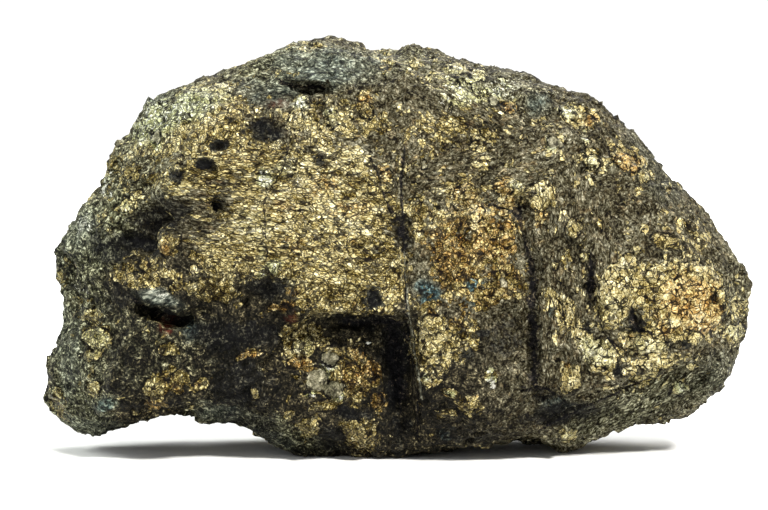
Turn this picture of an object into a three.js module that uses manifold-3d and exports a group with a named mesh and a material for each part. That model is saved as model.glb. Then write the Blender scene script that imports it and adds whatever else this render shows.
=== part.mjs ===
// A rough hand specimen of bornite ore, broken out of its vein and standing on its lower edge.
// It grew as one mass, so it is one solid: a dark sulphide body with brassy grains grown into it.
// Units are millimetres. X runs to the right along the broken face, Z is up, and the broken
// face looks towards -Y. The origin is on the ground, under the middle of the stone.

import * as THREE from "three";
import { ImprovedNoise } from "three/addons/math/ImprovedNoise.js";
import { TessellateModifier } from "three/addons/modifiers/TessellateModifier.js";
import { mergeVertices } from "three/addons/utils/BufferGeometryUtils.js";
import Module from "manifold-3d";

const wasm = await Module();
wasm.setup();

// Driving dimensions of the whole stone
const HEART = { x: 0, z: 32 }; // the middle of the face, which every part of the rim can be seen from
const FRONT_DEPTH = 27; // from the middle plane to the uncut swell of the broken face
const BACK_DEPTH = 26;
const WORN_BASE = 1.1; // how much of the lowest lobes is worn away to the flat that it stands on
const GROUND = { wide: 200, deep: 40 }; // the block under it that wears them away
const WELL_IN_FRONT = -60; // a y that is clear of the whole stone

// The rim as seen from the front, clockwise from the left lobe, as [x, z]
const RIM = [
  [-60.5, 11], [-59.2, 15], [-56.8, 19.5], [-56, 23], [-56.2, 26.5], [-57, 29],
  [-58.4, 33], [-58.4, 36], [-57, 38], [-55.2, 40.3], [-53.9, 42.6], [-51.5, 44.5],
  [-51, 46], [-48.8, 47.2], [-48.8, 51], [-47.2, 53], [-44.3, 55], [-44.4, 57.4],
  [-41.4, 60.6], [-39.2, 61.4], [-37, 63.3], [-33, 64], [-27, 66.2], [-23, 67.4],
  [-21.2, 68.8], [-16.5, 69.7], [-12.5, 70.5], [-8.5, 70.1], [-6, 69.4], [-3, 68.7],
  [-0.5, 69], [2, 69.5], [4.5, 69.6], [8, 68.6], [12, 67.2], [16.5, 66],
  [22.5, 63.9], [26.5, 62.4], [28, 61.2], [31.5, 61.4], [35, 60.2], [37.5, 56.8],
  [41.5, 53], [43.5, 49.5], [47.3, 45.8], [50.3, 43], [54, 38.2], [56.2, 35],
  [58.4, 31.5], [59.4, 28], [58.9, 25.5], [58.2, 22], [57.5, 19], [55.2, 13.4],
  [52.8, 10.6], [50.8, 9.6], [49.3, 7.2], [46.4, 6.3], [42.3, 6.7], [39.3, 6.2],
  [34.9, 4.2], [30.5, 1.6], [27, 0.1], [25.3, 1.4], [23.6, 5.4], [21.5, 4],
  [17, 2.7], [12, 2.6], [7, 1.6], [2, 1], [-1.5, 0.6], [-6.5, 0.4],
  [-10, 0], [-16.5, 0.4], [-21, 1.6], [-24.5, 3.7], [-27, 6.2], [-28.5, 6.9],
  [-30, 5.9], [-33, 6.3], [-35, 7], [-35.5, 9.2], [-38, 9.5], [-41, 8.2],
  [-44.5, 5.6], [-49, 3.2], [-51.5, 2.5], [-55.6, 3.9], [-58.8, 6.4], [-60.3, 8.8],
];
const RIM_WANDER = 5; // how far the rim strays from the middle plane, towards the face or the back
const RIM_WAVES = 1.7;
const RIM_BLUR = [-0.12, -0.08, -0.04, 0, 0.04, 0.08, 0.12]; // turns that even out its small teeth

// The blank's mesh, finest along the rim and finer on the broken face than on the back
const MESH_DETAIL = 7;
const MESH_EDGE = 0.2; // the longest edge, before the rim is drawn in, on a sphere of 1
const MOST_CUTS = 12; // the rounds of cutting that bring every edge under its length
const RIM_FINENESS = { gain: 1.15, band: 0.2 };
const TOWARDS_FACE = 0.3;
const FACE_BAND = [0.15, 0.5]; // how far forward on the sphere the face's relief comes in

// The blank's section: 2 is an ellipse, and more is boxier
const SQUARENESS = { top: 2.5, bottom: 3.3 };
const BOTTOM_BAND = [-0.3, 0.8]; // where the section turns from the top's to the bottom's
const RIM_BAND = [0.1, 0.5]; // how far from the rim its small teeth fade out

// Old fracture planes that the blank was split along: a point on each, from the heart, the way
// that it faces, and the share of the swell that it left standing
const FRACTURES = [
  { name: "broken face", through: [0, -20.5, 0], facing: [0.03, -1, 0.04], left: 0.3 },
  { name: "top bevel", through: [0, -19, 30], facing: [0.05, -0.62, 0.78], left: 0.15 },
  { name: "upper left bevel", through: [-34, -17, 25], facing: [-0.45, -0.72, 0.53], left: 0.15 },
  { name: "upper right bevel", through: [36, -17, 23], facing: [0.4, -0.62, 0.68], left: 0.1 },
  { name: "right bevel", through: [51, -14, 0], facing: [0.86, -0.5, 0.05], left: 0.2 },
  { name: "lower right bevel", through: [36, -15.5, -21], facing: [0.24, -0.6, -0.76], left: 0.1 },
  { name: "left lobe bevel", through: [-54, -11, -16], facing: [-0.78, -0.58, -0.22], left: 0.2 },
  { name: "lower edge", through: [-8, -15, -27], facing: [-0.05, -0.7, -0.71], left: 0.15 },
  { name: "back", through: [0, 20, 0], facing: [0.1, 1, 0.08], left: 0.12 },
  { name: "back left", through: [-35, 15, 0], facing: [-0.55, 0.82, 0.12], left: 0.08 },
  { name: "back right", through: [36, 15, 3], facing: [0.52, 0.8, 0.22], left: 0.08 },
  { name: "back top", through: [6, 15, 22], facing: [0.12, 0.68, 0.72], left: 0.1 },
  { name: "back upper left", through: [-24, 14, 21], facing: [-0.35, 0.72, 0.6], left: 0.1 },
  { name: "back base", through: [4, 17, -24], facing: [0.05, 0.78, -0.62], left: 0.1 },
];

// Every place on the face below is as it looks from in front, in the plane of the rim. The face is
// nearer to the eye than the rim is, and the eye is a little above it, so a place is drawn in
// towards the middle of the view and raised.
const VIEW = { x: -2.5, z: 34, drawnIn: 0.942, raised: 1.1 };

// Low swells and dents of the broken face: centre, half width, half height, turn and lift
const SWELLS = [
  { x: -42, z: 39.5, wide: 9, high: 5, turn: -15, lift: -3 }, // dark hollow at the left
  { x: -50, z: 31, wide: 6, high: 5, turn: 0, lift: -2 },
  { x: -24, z: 37, wide: 17, high: 8, turn: 5, lift: 2 }, // brassy plateau
  { x: -34, z: 52, wide: 13, high: 8, turn: 25, lift: 1.5 },
  { x: -13.5, z: 66, wide: 10, high: 5, turn: 0, lift: 2.6 }, // grey knob at the top
  { x: -24, z: 59, wide: 7, high: 3.5, turn: 15, lift: -1.6 }, // smooth hollow beside it
  { x: 28.5, z: 30, wide: 5.5, high: 20, turn: 3, lift: 2.2 }, // rib right of the long groove
  { x: 46, z: 24, wide: 13, high: 10, turn: 5, lift: 1.6 }, // brassy swell at the right
  { x: 20, z: 56, wide: 16, high: 5, turn: -18, lift: -1.2 },
  { x: -48, z: 14, wide: 9, high: 9, turn: 0, lift: 2 }, // left lobe
  { x: -27, z: 12, wide: 9, high: 6, turn: 0, lift: -1.6 },
];
const SWELL_EDGE = [0.25, 1.25]; // where a swell starts to fall and where it ends, in half widths

// The step that crosses the left half of the face, as [x, z] from the left rim to the middle
const STEP_EDGE = [[-60, 27.5], [-45, 26], [-36, 25.2], [-26, 26.4], [-17, 23.6], [3, 23]];
const STEP_DROP = 3.4; // the face below it lies this much deeper
const STEP_SOFTNESS = [-0.3, 1.2]; // the height over which the step falls
const STEP_FADE = 15; // and comes back over this height

// Sharp hollows broken into the stone: an outline in x and z, the y of the floor and its tilt in
// degrees. swing carries the floor's right side back, and pitch carries its top back.
const FACE_HOLLOWS = [
  {
    name: "square recess",
    outline: [
      [-17, 22.6], [-10, 23.6], [1.4, 23], [2.2, 15], [3, 3],
      [1.6, -6], [-20, -6], [-24, 6], [-23, 15],
    ],
    floor: -17, swing: 9, pitch: 9,
  },
  {
    name: "long groove",
    outline: [
      [6, 45], [12, 44.2], [19.4, 46.2], [21.8, 43.6], [22.9, 32],
      [23.4, 20], [23, 12.5], [18, 10], [10, 11.5], [5, 22],
    ],
    floor: -21.4, swing: 7, pitch: 1,
  },
  {
    name: "slit under the knob",
    outline: [[-19.6, 62.9], [-16.6, 63.1], [-12.6, 62.6], [-11.9, 61.8], [-15, 61.3], [-18.4, 61.9]],
    floor: -14.5, swing: 4, pitch: 0,
  },
  {
    name: "corner notch in the right swell",
    outline: [[37.2, 21.4], [39.6, 21.2], [39.8, 18], [42.6, 17.6], [42.4, 15.4], [37, 15.8]],
    floor: -20.2, swing: 0, pitch: 0,
  },
  {
    name: "step left of the right swell",
    outline: [[31.4, 29.5], [33.6, 29], [33.6, 19], [33.2, 13], [29.6, 14.5], [29, 24]],
    floor: -20.4, swing: 14, pitch: 0,
  },
  {
    name: "small pit",
    outline: [[-31.9, 43.3], [-30.7, 43.2], [-30, 41.6], [-30.9, 40.9], [-31.8, 41.8]],
    floor: -19.6, swing: 0, pitch: 0,
  },
  {
    name: "shelf under the wedge",
    outline: [[-44.4, 24.8], [-40, 24.4], [-35.2, 22.6], [-35.4, 21.2], [-40, 22.4], [-43.8, 23.4]],
    floor: -16.4, swing: 0, pitch: 14,
  },
  {
    name: "dark hollow at the left",
    outline: [[-49.5, 42.4], [-43, 42.6], [-36.6, 39.2], [-39.4, 34.6], [-43.8, 34.4], [-49.4, 36]],
    floor: -16.6, swing: -6, pitch: 8,
  },
  {
    name: "chip in the left rim",
    outline: [[-64, 35], [-55.5, 33.8], [-52.5, 31], [-54.8, 28.6], [-64, 28]],
    floor: -4, swing: -25, pitch: 0,
  },
  {
    name: "chip in the upper left rim",
    outline: [[-56, 53], [-47, 50.5], [-45.6, 46.6], [-49.8, 43.6], [-60, 44]],
    floor: -7, swing: -22, pitch: 0,
  },
  {
    name: "chip in the lower right",
    outline: [[21, 10.2], [26, 10], [31, 8.6], [26.6, 7.8], [21.4, 8.8]],
    floor: -19.6, swing: 0, pitch: 6,
  },
  {
    name: "break in the lower right bevel",
    outline: [[37, 13], [47, 16], [54, 13.5], [58, 4], [40, 2]],
    floor: -14.4, swing: 12, pitch: -24,
  },
];
const BACK_HOLLOWS = [
  {
    name: "upper break",
    outline: [[-20, 60], [10, 63], [27, 51], [23, 35], [-2, 31], [-15, 41]],
    floor: 18, swing: 5, pitch: -9,
  },
  {
    name: "left shelf",
    outline: [[-50, 33], [-24, 37], [-13, 24], [-19, 7], [-46, 9]],
    floor: 15.6, swing: 17, pitch: 6,
  },
  {
    name: "right shell",
    outline: [[19, 29], [44, 33], [55, 20], [44, 7], [22, 9]],
    floor: 14.6, swing: -19, pitch: 7,
  },
  {
    name: "low break",
    outline: [[-14, 20], [4, 24], [17, 19], [14, -4], [-12, -4]],
    floor: 17.4, swing: -5, pitch: 16,
  },
];
const HOLLOW_REACH = 34; // every hollow is open this far out from its floor
const HOLLOW_GRAIN = 6.5; // the longest flat in a hollow's broken walls
const HOLLOW_ROUGHNESS = [
  { size: 7, height: 1.7 },
  { size: 3.4, height: 0.9 },
];

// Blunt masses that stand out of the face: centre, half sizes, how far they are sunk, and turn
const MASSES = [
  { name: "quartz and brass mass", x: -9, z: 12.5, wide: 8, high: 9.4, deep: 6, sunk: 1.8, turn: 12 },
  { name: "grey wedge", x: -40, z: 26.2, wide: 5.6, high: 2, deep: 3, sunk: 0.6, turn: -14 },
  { name: "brassy knuckle", x: -38.8, z: 36.6, wide: 2.8, high: 3.2, deep: 2.8, sunk: 0.5, turn: 20 },
  { name: "brassy lip of the groove", x: 18.4, z: 45.6, wide: 3.2, high: 2.2, deep: 2.8, sunk: 0.4, turn: 25 },
  { name: "brass beside the groove", x: 26.4, z: 43.2, wide: 3.2, high: 4, deep: 2.4, sunk: 0.6, turn: 10 },
  { name: "pale knob", x: -16, z: 57.6, wide: 2.1, high: 3.2, deep: 2.4, sunk: 0.3, turn: -20 },
  { name: "lower pale knob", x: -17.2, z: 53.2, wide: 2, high: 2.4, deep: 2, sunk: 0.3, turn: 10 },
  { name: "round brassy lump", x: 26.4, z: 13.4, wide: 2.8, high: 2.6, deep: 2.6, sunk: 0.5, turn: 0 },
  { name: "lump in the right swell", x: 36.4, z: 26.6, wide: 4, high: 5.4, deep: 2.8, sunk: 0.9, turn: -15 },
  { name: "orange mass at the right", x: 50.2, z: 26, wide: 6.6, high: 6, deep: 3.2, sunk: 1, turn: 5 },
  { name: "low mass at the right", x: 35.8, z: 15.8, wide: 3.6, high: 4.6, deep: 2.6, sunk: 0.9, turn: 35 },
  { name: "brass in the left lobe", x: -37.4, z: 11, wide: 5.6, high: 3, deep: 2.4, sunk: 0.8, turn: 12 },
  { name: "brass in the groove", x: 10.4, z: 34, wide: 3.4, high: 8.4, deep: 2.6, sunk: 0.9, turn: 8 },
];
const MASS_KNOCK = { least: 0.84, spread: 0.28 }; // how far a mass's corners are knocked off round
const MASS_SINK = 0.45; // the share of a mass's depth that lies under the face

// Single well-grown grains, large enough to see as crystals: x, z and size
const CRYSTALS = [
  [28.2, 57.8, 3.2], [31.8, 57.4, 3], [33.2, 54.6, 2.6], [25.8, 53.4, 2.8], [30.8, 52.6, 2.4],
  [32.6, 49.8, 3.2], [37.2, 49.8, 3], [40.2, 48, 3.2], [43.4, 44.8, 2.6], [11.4, 43.8, 3.4],
  [14.6, 41, 2.6], [30, 37.2, 2.8], [44.6, 34.4, 2.6], [29.6, 17.8, 3.2],
  [31.8, 14, 3.4], [16.4, 13.6, 2.8], [10.2, 9.8, 3.8], [14, 8.6, 3], [28.4, 3.6, 3],
  [-11, 57.8, 3], [-5.6, 58.4, 2.6], [-22.2, 44.4, 2.8], [-19.4, 31.4, 3.2], [-24, 29.6, 2.6],
  [-11.2, 16.2, 3], [-14, 12.4, 2.8], [-9.6, 9.6, 2.6], [-5.4, 4.2, 3.4],
  [-14.6, 5, 3.2], [55.6, 20.8, 2.6], [-51, 22, 3.2],
];

const CRYSTAL_SHAPE = { radius: 0.6, thin: 0.8, longer: 0.4 }; // against its size
const CRYSTAL_SINK = 0.16; // how far its middle lies under the face, against its size

// Roughness of the broken rock, from the largest swells to the smallest that the mesh can hold
const ROUGHNESS = [
  { size: 15, height: 1.6 },
  { size: 6.5, height: 1 },
  { size: 3.2, height: 0.5 },
];
const CHIP_SIZE = 8; // the flat chips that the break left, on average
const CHIP_HEIGHT = 1.15;
const RIM_CALM = 0.45; // the roughness left on the rim, so that the outline keeps its shape

const noise = new ImprovedNoise();

// A place as it looks from in front, carried to where it lies on the face
function onFace([x, z]) {
  return [VIEW.x + (x - VIEW.x) * VIEW.drawnIn, VIEW.z + (z - VIEW.z) * VIEW.drawnIn + VIEW.raised];
}

// A repeatable draw from 0 to 1 for up to three numbers
function draw(a, b = 0, c = 0) {
  const wave = Math.sin(a * 127.1 + b * 311.7 + c * 74.7) * 43758.5453;
  return wave - Math.floor(wave);
}

// The distance from the heart to the rim along an angle in the plane of the face
function rimDistance(angle) {
  const rayX = Math.cos(angle);
  const rayZ = Math.sin(angle);
  let reach = 0;
  RIM.forEach(([x, z], i) => {
    const [nextX, nextZ] = RIM[(i + 1) % RIM.length];
    const edgeX = nextX - x;
    const edgeZ = nextZ - z;
    const fromX = x - HEART.x;
    const fromZ = z - HEART.z;
    const cross = rayX * edgeZ - rayZ * edgeX;
    if (Math.abs(cross) < 1e-9) return;
    const along = (fromX * edgeZ - fromZ * edgeX) / cross;
    const share = (fromX * rayZ - fromZ * rayX) / cross;
    if (along > 0 && share >= 0 && share <= 1) reach = Math.max(reach, along);
  });
  return reach;
}

// The rim's distance without its small teeth, never more than the true one
function evenRimDistance(angle) {
  let sum = 0;
  for (const turn of RIM_BLUR) sum += rimDistance(angle + turn);
  return Math.min(rimDistance(angle), sum / RIM_BLUR.length);
}

// A point of the sphere, moved to the swollen blank that fills the rim
function swellOut(point) {
  const around = Math.atan2(point.z, point.x);
  const even = Math.acos(THREE.MathUtils.clamp(-point.y, -1, 1)); // 0 at the face, pi at the back
  const across = even - TOWARDS_FACE * Math.sin(even);
  const low = THREE.MathUtils.smoothstep(-Math.sin(around), ...BOTTOM_BAND);
  const square = THREE.MathUtils.lerp(SQUARENESS.top, SQUARENESS.bottom, low);
  const out = Math.sin(across);
  const forward = Math.cos(across);
  const length = (out ** square + Math.abs(forward) ** square) ** (-1 / square);
  const away = THREE.MathUtils.smoothstep(Math.abs(forward), ...RIM_BAND);
  const reach = THREE.MathUtils.lerp(rimDistance(around), evenRimDistance(around), away);
  const wave = noise.noise(RIM_WAVES * Math.cos(around) + 3.3, RIM_WAVES * Math.sin(around), 0.5);
  const stray = RIM_WANDER * wave;
  const depth = (forward > 0 ? FRONT_DEPTH : BACK_DEPTH) * forward * length;
  const radius = reach * out * length;
  point.set(Math.cos(around) * radius, stray * out ** 4 - depth, Math.sin(around) * radius);
}

// Splits a point back to a fracture plane, where the blank stands out past it
function splitAlong(point, { through, facing, left }) {
  const normal = new THREE.Vector3(...facing).normalize();
  const over = normal.dot(point) - normal.dot(new THREE.Vector3(...through));
  if (over > 0) point.addScaledVector(normal, -over * (1 - left));
}

// A smooth bump from 1 at its middle to 0 past the edge of a turned ellipse
function bump(x, z, swell) {
  const { wide, high } = swell;
  const [midX, midZ] = onFace([swell.x, swell.z]);
  const angle = THREE.MathUtils.degToRad(swell.turn);
  const dx = x - midX;
  const dz = z - midZ;
  const along = (dx * Math.cos(angle) + dz * Math.sin(angle)) / wide;
  const up = (dz * Math.cos(angle) - dx * Math.sin(angle)) / high;
  return 1 - THREE.MathUtils.smoothstep(Math.hypot(along, up), ...SWELL_EDGE);
}

// The height of the step's edge above the ground at x
function stepHeight(x) {
  const edge = STEP_EDGE.map(onFace);
  const next = edge.findIndex(([edgeX]) => edgeX > x);
  if (next <= 0) return edge[0][1];
  const [x1, z1] = edge[next - 1];
  const [x2, z2] = edge[next];
  return THREE.MathUtils.mapLinear(x, x1, x2, z1, z2);
}

// How far the broken face stands out at x and z, against its plain fracture planes
function faceRelief(x, z) {
  let lift = 0;
  for (const swell of SWELLS) lift += swell.lift * bump(x, z, swell);
  const [edgeEnd] = onFace(STEP_EDGE[STEP_EDGE.length - 1]);
  if (x < edgeEnd) {
    const below = stepHeight(x) - z;
    const fade = Math.max(0, 1 - below / STEP_FADE);
    lift -= STEP_DROP * THREE.MathUtils.smoothstep(below, ...STEP_SOFTNESS) * fade;
  }
  return lift;
}

// The seed of one cell of a jittered lattice
function cellSeed(a, b, c) {
  return new THREE.Vector3(a + draw(a, b, c), b + draw(b, c, a), c + draw(c, a, b));
}

// Flat chips: each cell of a jittered lattice tips its own little plane
function chipHeight(point) {
  const cell = point.clone().divideScalar(CHIP_SIZE);
  const home = cell.clone().floor();
  let nearest = Infinity;
  let height = 0;
  for (let step = 0; step < 27; step++) {
    const a = home.x + (step % 3) - 1;
    const b = home.y + (Math.floor(step / 3) % 3) - 1;
    const c = home.z + Math.floor(step / 9) - 1;
    const away = cell.clone().sub(cellSeed(a, b, c));
    if (away.lengthSq() >= nearest) continue;
    nearest = away.lengthSq();
    const tip = new THREE.Vector3(draw(a, c, b) - 0.5, draw(b, a, c) - 0.5, draw(c, b, a) - 0.5);
    height = away.dot(tip) * 2 + draw(a + b, c) - 0.5;
  }
  return height * CHIP_HEIGHT;
}

// The sum of some layers of noise at a point, in millimetres
function layered(point, layers, offset) {
  let sum = 0;
  for (const { size, height } of layers)
    sum += height * noise.noise(point.x / size + offset, point.y / size + 4.7, point.z / size + 2.3);
  return sum;
}

// The sphere's points on the blank, before its roughness
function shapeBlank(place) {
  const point = new THREE.Vector3();
  for (let i = 0; i < place.count; i++) {
    point.fromBufferAttribute(place, i);
    const faceShare = THREE.MathUtils.smoothstep(-point.y, ...FACE_BAND);
    swellOut(point);
    for (const fracture of FRACTURES) splitAlong(point, fracture);
    point.x += HEART.x;
    point.z += HEART.z;
    point.y -= faceShare * faceRelief(point.x, point.z);
    place.setXYZ(i, point.x, point.y, point.z);
  }
}

// Lifts every point along its normal by the rock's roughness
function roughenBlank(place, normals) {
  const point = new THREE.Vector3();
  const normal = new THREE.Vector3();
  for (let i = 0; i < place.count; i++) {
    point.fromBufferAttribute(place, i);
    normal.fromBufferAttribute(normals, i);
    const calm = THREE.MathUtils.lerp(RIM_CALM, 1, Math.abs(normal.y));
    const lift = calm * (chipHeight(point) + layered(point, ROUGHNESS, 9.1));
    point.addScaledVector(normal, lift);
    place.setXYZ(i, point.x, point.y, point.z);
  }
}

// A unit sphere with small triangles near the rim: they are cut while the rim is stretched out
function rimmedSphere() {
  const sphere = placesOnly(new THREE.IcosahedronGeometry(1, MESH_DETAIL));
  const { gain, band } = RIM_FINENESS;
  scalePlaces(sphere, (point) => 1 + gain * Math.exp(-((point.y / band) ** 2)));
  const cut = placesOnly(new TessellateModifier(MESH_EDGE, MOST_CUTS).modify(sphere));
  scalePlaces(cut, (point) => 1 / point.length());
  return cut;
}

// Scales every point of a geometry from the origin by its own factor
function scalePlaces(geometry, factor) {
  const place = geometry.getAttribute("position");
  const point = new THREE.Vector3();
  for (let i = 0; i < place.count; i++) {
    point.fromBufferAttribute(place, i);
    point.multiplyScalar(factor(point));
    place.setXYZ(i, point.x, point.y, point.z);
  }
}

// The whole blank: swollen, split along its fractures, then roughened
function blankGeometry() {
  const geometry = rimmedSphere();
  const place = geometry.getAttribute("position");
  shapeBlank(place);
  geometry.computeVertexNormals();
  roughenBlank(place, geometry.getAttribute("normal"));
  return geometry;
}

// A geometry with nothing but its shared corners
function placesOnly(geometry) {
  for (const name of Object.keys(geometry.attributes))
    if (name !== "position") geometry.deleteAttribute(name);
  return mergeVertices(geometry, 1e-5);
}

// A closed three.js geometry as a solid for joining and cutting
function solidOf(geometry) {
  const closed = placesOnly(geometry);
  return new wasm.Manifold(
    new wasm.Mesh({
      numProp: 3,
      vertProperties: new Float32Array(closed.getAttribute("position").array),
      triVerts: new Uint32Array(closed.index.array),
    }),
  );
}

// A solid as a three.js geometry
function geometryOf(solid) {
  const { vertProperties, triVerts } = solid.getMesh();
  const geometry = new THREE.BufferGeometry();
  geometry.setAttribute("position", new THREE.BufferAttribute(vertProperties, 3));
  geometry.setIndex(new THREE.BufferAttribute(triVerts, 1));
  return geometry;
}

// The tool that breaks a hollow, from its floor out past the face, or past the back
function hollowSolid({ outline: drawn, floor, swing, pitch }, fromBack) {
  const outline = fromBack ? drawn : drawn.map(onFace);
  const shape = new THREE.Shape(outline.map(([x, z]) => new THREE.Vector2(x, z)));
  const middle = new THREE.Vector2();
  for (const [x, z] of outline) middle.add(new THREE.Vector2(x, z).divideScalar(outline.length));
  let geometry = new THREE.ExtrudeGeometry(shape, { depth: HOLLOW_REACH, bevelEnabled: false });
  geometry.rotateX(Math.PI / 2);
  geometry.translate(-middle.x, fromBack ? HOLLOW_REACH : 0, -middle.y);
  geometry.rotateZ(THREE.MathUtils.degToRad(swing));
  geometry.rotateX(THREE.MathUtils.degToRad(-pitch));
  geometry.translate(middle.x, floor, middle.y);
  geometry = new TessellateModifier(HOLLOW_GRAIN, MOST_CUTS).modify(placesOnly(geometry));
  roughenWalls(geometry.getAttribute("position"));
  return solidOf(geometry);
}

// Shakes the walls and floor of a hollow out of flat
function roughenWalls(place) {
  const point = new THREE.Vector3();
  for (let i = 0; i < place.count; i++) {
    point.fromBufferAttribute(place, i);
    const [x, y, z] = [1.3, 21.7, 43.9].map((offset) => layered(point, HOLLOW_ROUGHNESS, offset));
    place.setXYZ(i, point.x + x, point.y + y, point.z + z);
  }
}

// Where a line through x and z, from in front of the stone, first meets a mesh
function faceDepth(mesh, x, z) {
  const ray = new THREE.Raycaster(new THREE.Vector3(x, WELL_IN_FRONT, z), new THREE.Vector3(0, 1, 0));
  return ray.intersectObject(mesh)[0].point.y;
}

// A blunt faceted mass, sunk into the face where it grew
function massSolid({ x: seenX, z: seenZ, wide, high, deep, sunk, turn }, mesh, index) {
  const [midX, midZ] = onFace([seenX, seenZ]);
  const geometry = placesOnly(new THREE.IcosahedronGeometry(1, 1));
  const place = geometry.getAttribute("position");
  for (let i = 0; i < place.count; i++) {
    const knock = MASS_KNOCK.least + MASS_KNOCK.spread * draw(i, index, 5);
    const [x, y, z] = [place.getX(i), place.getY(i), place.getZ(i)];
    place.setXYZ(i, x * knock * wide, y * knock * deep, z * knock * high);
  }
  geometry.rotateY(THREE.MathUtils.degToRad(-turn));
  geometry.translate(midX, faceDepth(mesh, midX, midZ) + deep * MASS_SINK + sunk, midZ);
  return solidOf(geometry);
}

// A single crystal: a small blunt block, tipped its own way
function crystalSolid([seenX, seenZ, size], mesh, index) {
  const [x, z] = onFace([seenX, seenZ]);
  const { radius, thin, longer } = CRYSTAL_SHAPE;
  const geometry = placesOnly(new THREE.IcosahedronGeometry(size * radius));
  geometry.scale(1 + longer * draw(index, 1), thin, 1 + longer * draw(index, 2));
  geometry.rotateX(Math.PI * draw(index, 3));
  geometry.rotateY(Math.PI * draw(index, 4));
  geometry.translate(x, faceDepth(mesh, x, z) + size * CRYSTAL_SINK, z);
  return solidOf(geometry);
}

// A block under the ground, which wears the lowest lobes flat
function groundSolid() {
  const block = new THREE.BoxGeometry(GROUND.wide, GROUND.wide, GROUND.deep);
  return solidOf(block.translate(0, 0, WORN_BASE - GROUND.deep / 2));
}

function stoneSolid() {
  let stone = solidOf(blankGeometry());
  for (const hollow of FACE_HOLLOWS) stone = stone.subtract(hollowSolid(hollow, false));
  for (const hollow of BACK_HOLLOWS) stone = stone.subtract(hollowSolid(hollow, true));
  const hollowed = new THREE.Mesh(geometryOf(stone));
  MASSES.forEach((mass, i) => {
    stone = stone.add(massSolid(mass, hollowed, i));
  });
  const massed = new THREE.Mesh(geometryOf(stone));
  CRYSTALS.forEach((crystal, i) => {
    stone = stone.add(crystalSolid(crystal, massed, i));
  });
  return stone.subtract(groundSolid());
}

// The finished stone stands on the ground, with the middle of its box over the origin
function stoneGeometry() {
  const geometry = geometryOf(stoneSolid());
  geometry.computeBoundingBox();
  const middle = geometry.boundingBox.getCenter(new THREE.Vector3());
  return geometry.translate(-middle.x, -middle.y, -WORN_BASE);
}

const oreMaterial = new THREE.MeshStandardMaterial({
  name: "bornite_ore",
  color: 0x6b6247,
  roughness: 0.55,
  metalness: 0.45,
  flatShading: true,
});

const stone = new THREE.Mesh(stoneGeometry(), oreMaterial);
stone.name = "bornite";

const specimen = new THREE.Group();
specimen.add(stone);

export default specimen;
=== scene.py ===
"""The looks of a rough bornite specimen: dark ore with brassy grains, standing on a pale floor.

The broken face is mapped by what a photograph of 768 x 510 pixels shows of it: patches and
cracks are given where the eye sees them, and are laid on whatever part of the stone is there.
"""

import math

import bpy
import numpy as np
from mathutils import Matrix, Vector, noise


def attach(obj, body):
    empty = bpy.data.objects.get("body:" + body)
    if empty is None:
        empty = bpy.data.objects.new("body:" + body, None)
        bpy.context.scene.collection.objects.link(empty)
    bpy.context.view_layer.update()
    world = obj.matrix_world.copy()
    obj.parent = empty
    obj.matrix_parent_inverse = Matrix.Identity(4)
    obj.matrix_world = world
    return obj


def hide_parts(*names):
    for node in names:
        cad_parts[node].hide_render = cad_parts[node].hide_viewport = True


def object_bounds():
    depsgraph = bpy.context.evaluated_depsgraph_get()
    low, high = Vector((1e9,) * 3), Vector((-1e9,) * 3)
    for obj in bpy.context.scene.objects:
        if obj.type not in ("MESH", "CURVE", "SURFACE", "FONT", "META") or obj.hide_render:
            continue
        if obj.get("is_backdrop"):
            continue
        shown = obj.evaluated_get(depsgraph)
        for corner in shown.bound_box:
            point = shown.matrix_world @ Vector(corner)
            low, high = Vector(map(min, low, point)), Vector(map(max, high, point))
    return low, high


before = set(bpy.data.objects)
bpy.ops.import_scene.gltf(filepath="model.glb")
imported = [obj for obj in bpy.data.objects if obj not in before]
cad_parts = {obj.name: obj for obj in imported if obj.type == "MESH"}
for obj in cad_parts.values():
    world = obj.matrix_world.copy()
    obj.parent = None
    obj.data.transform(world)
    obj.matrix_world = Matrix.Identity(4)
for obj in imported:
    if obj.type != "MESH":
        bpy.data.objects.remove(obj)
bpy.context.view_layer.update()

MM = 0.001
STONE = "bornite"

# The eye: where it looks from, and the frame that its pixels are counted in
LENS_MM = 100
SENSOR_MM = 36
FRAME_PX = (768, 510)
EYE_LIFT = math.radians(3)
EYE_AWAY = 361 * MM
LOOKED_AT = Vector((-2.2 * MM, 0, 33.1 * MM))

# The stone's skin: how wide its faces are, how often and how much it is smoothed, and how near
# to each other two corners of the solid are the same one
SKIN_EDGE = 0.565 * MM
SKIN_SMOOTHING = 4
SKIN_EASE = 0.5
SAME_SPOT = 0.001 * MM

# How squarely the skin looks at the eye where the face begins, and where it is seen in full
FACE_TURN = (0.02, 0.3)
IN_VIEW = 0.5

# How many of its half widths away from a crack or an edge the ground still knows of it, and how
# many pixels away from a lump
CRACK_REACH = 5
RIDGE_REACH = 3
LUMP_REACH = 5

# How many half sizes from its middle a patch starts to fade, and where it ends
PATCH_FADE = (0.4, 1.45)

# How many pixels deep in a lump its colour starts and is full, and how orange or pale it is
LUMP_EDGE = (-1, 1.5)
QUARTZ_EDGE = (-0.5, 1)
ORANGE_LUMP = 0.8
PALE_LUMP = 0.42

# The lower left of the face is blacker than the rest, partly dark ore and partly painted shade where
# less light falls: below a sloping line, left of an upright one
DARKER_SLOPE = 0.25
DARKER_BELOW = (150, 260)
DARKER_RIGHT = 560
DARKER_FADE = 120

# From left to right in the frame the crystals get coarser
COARSE_FROM = (380, 620)

# How much of a layered patch there is where its grains start to lie flat, and how far apart
# in the grain two layered patches are
LAYER_START = 0.45
LAYER_GAP = 31 * MM

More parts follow.
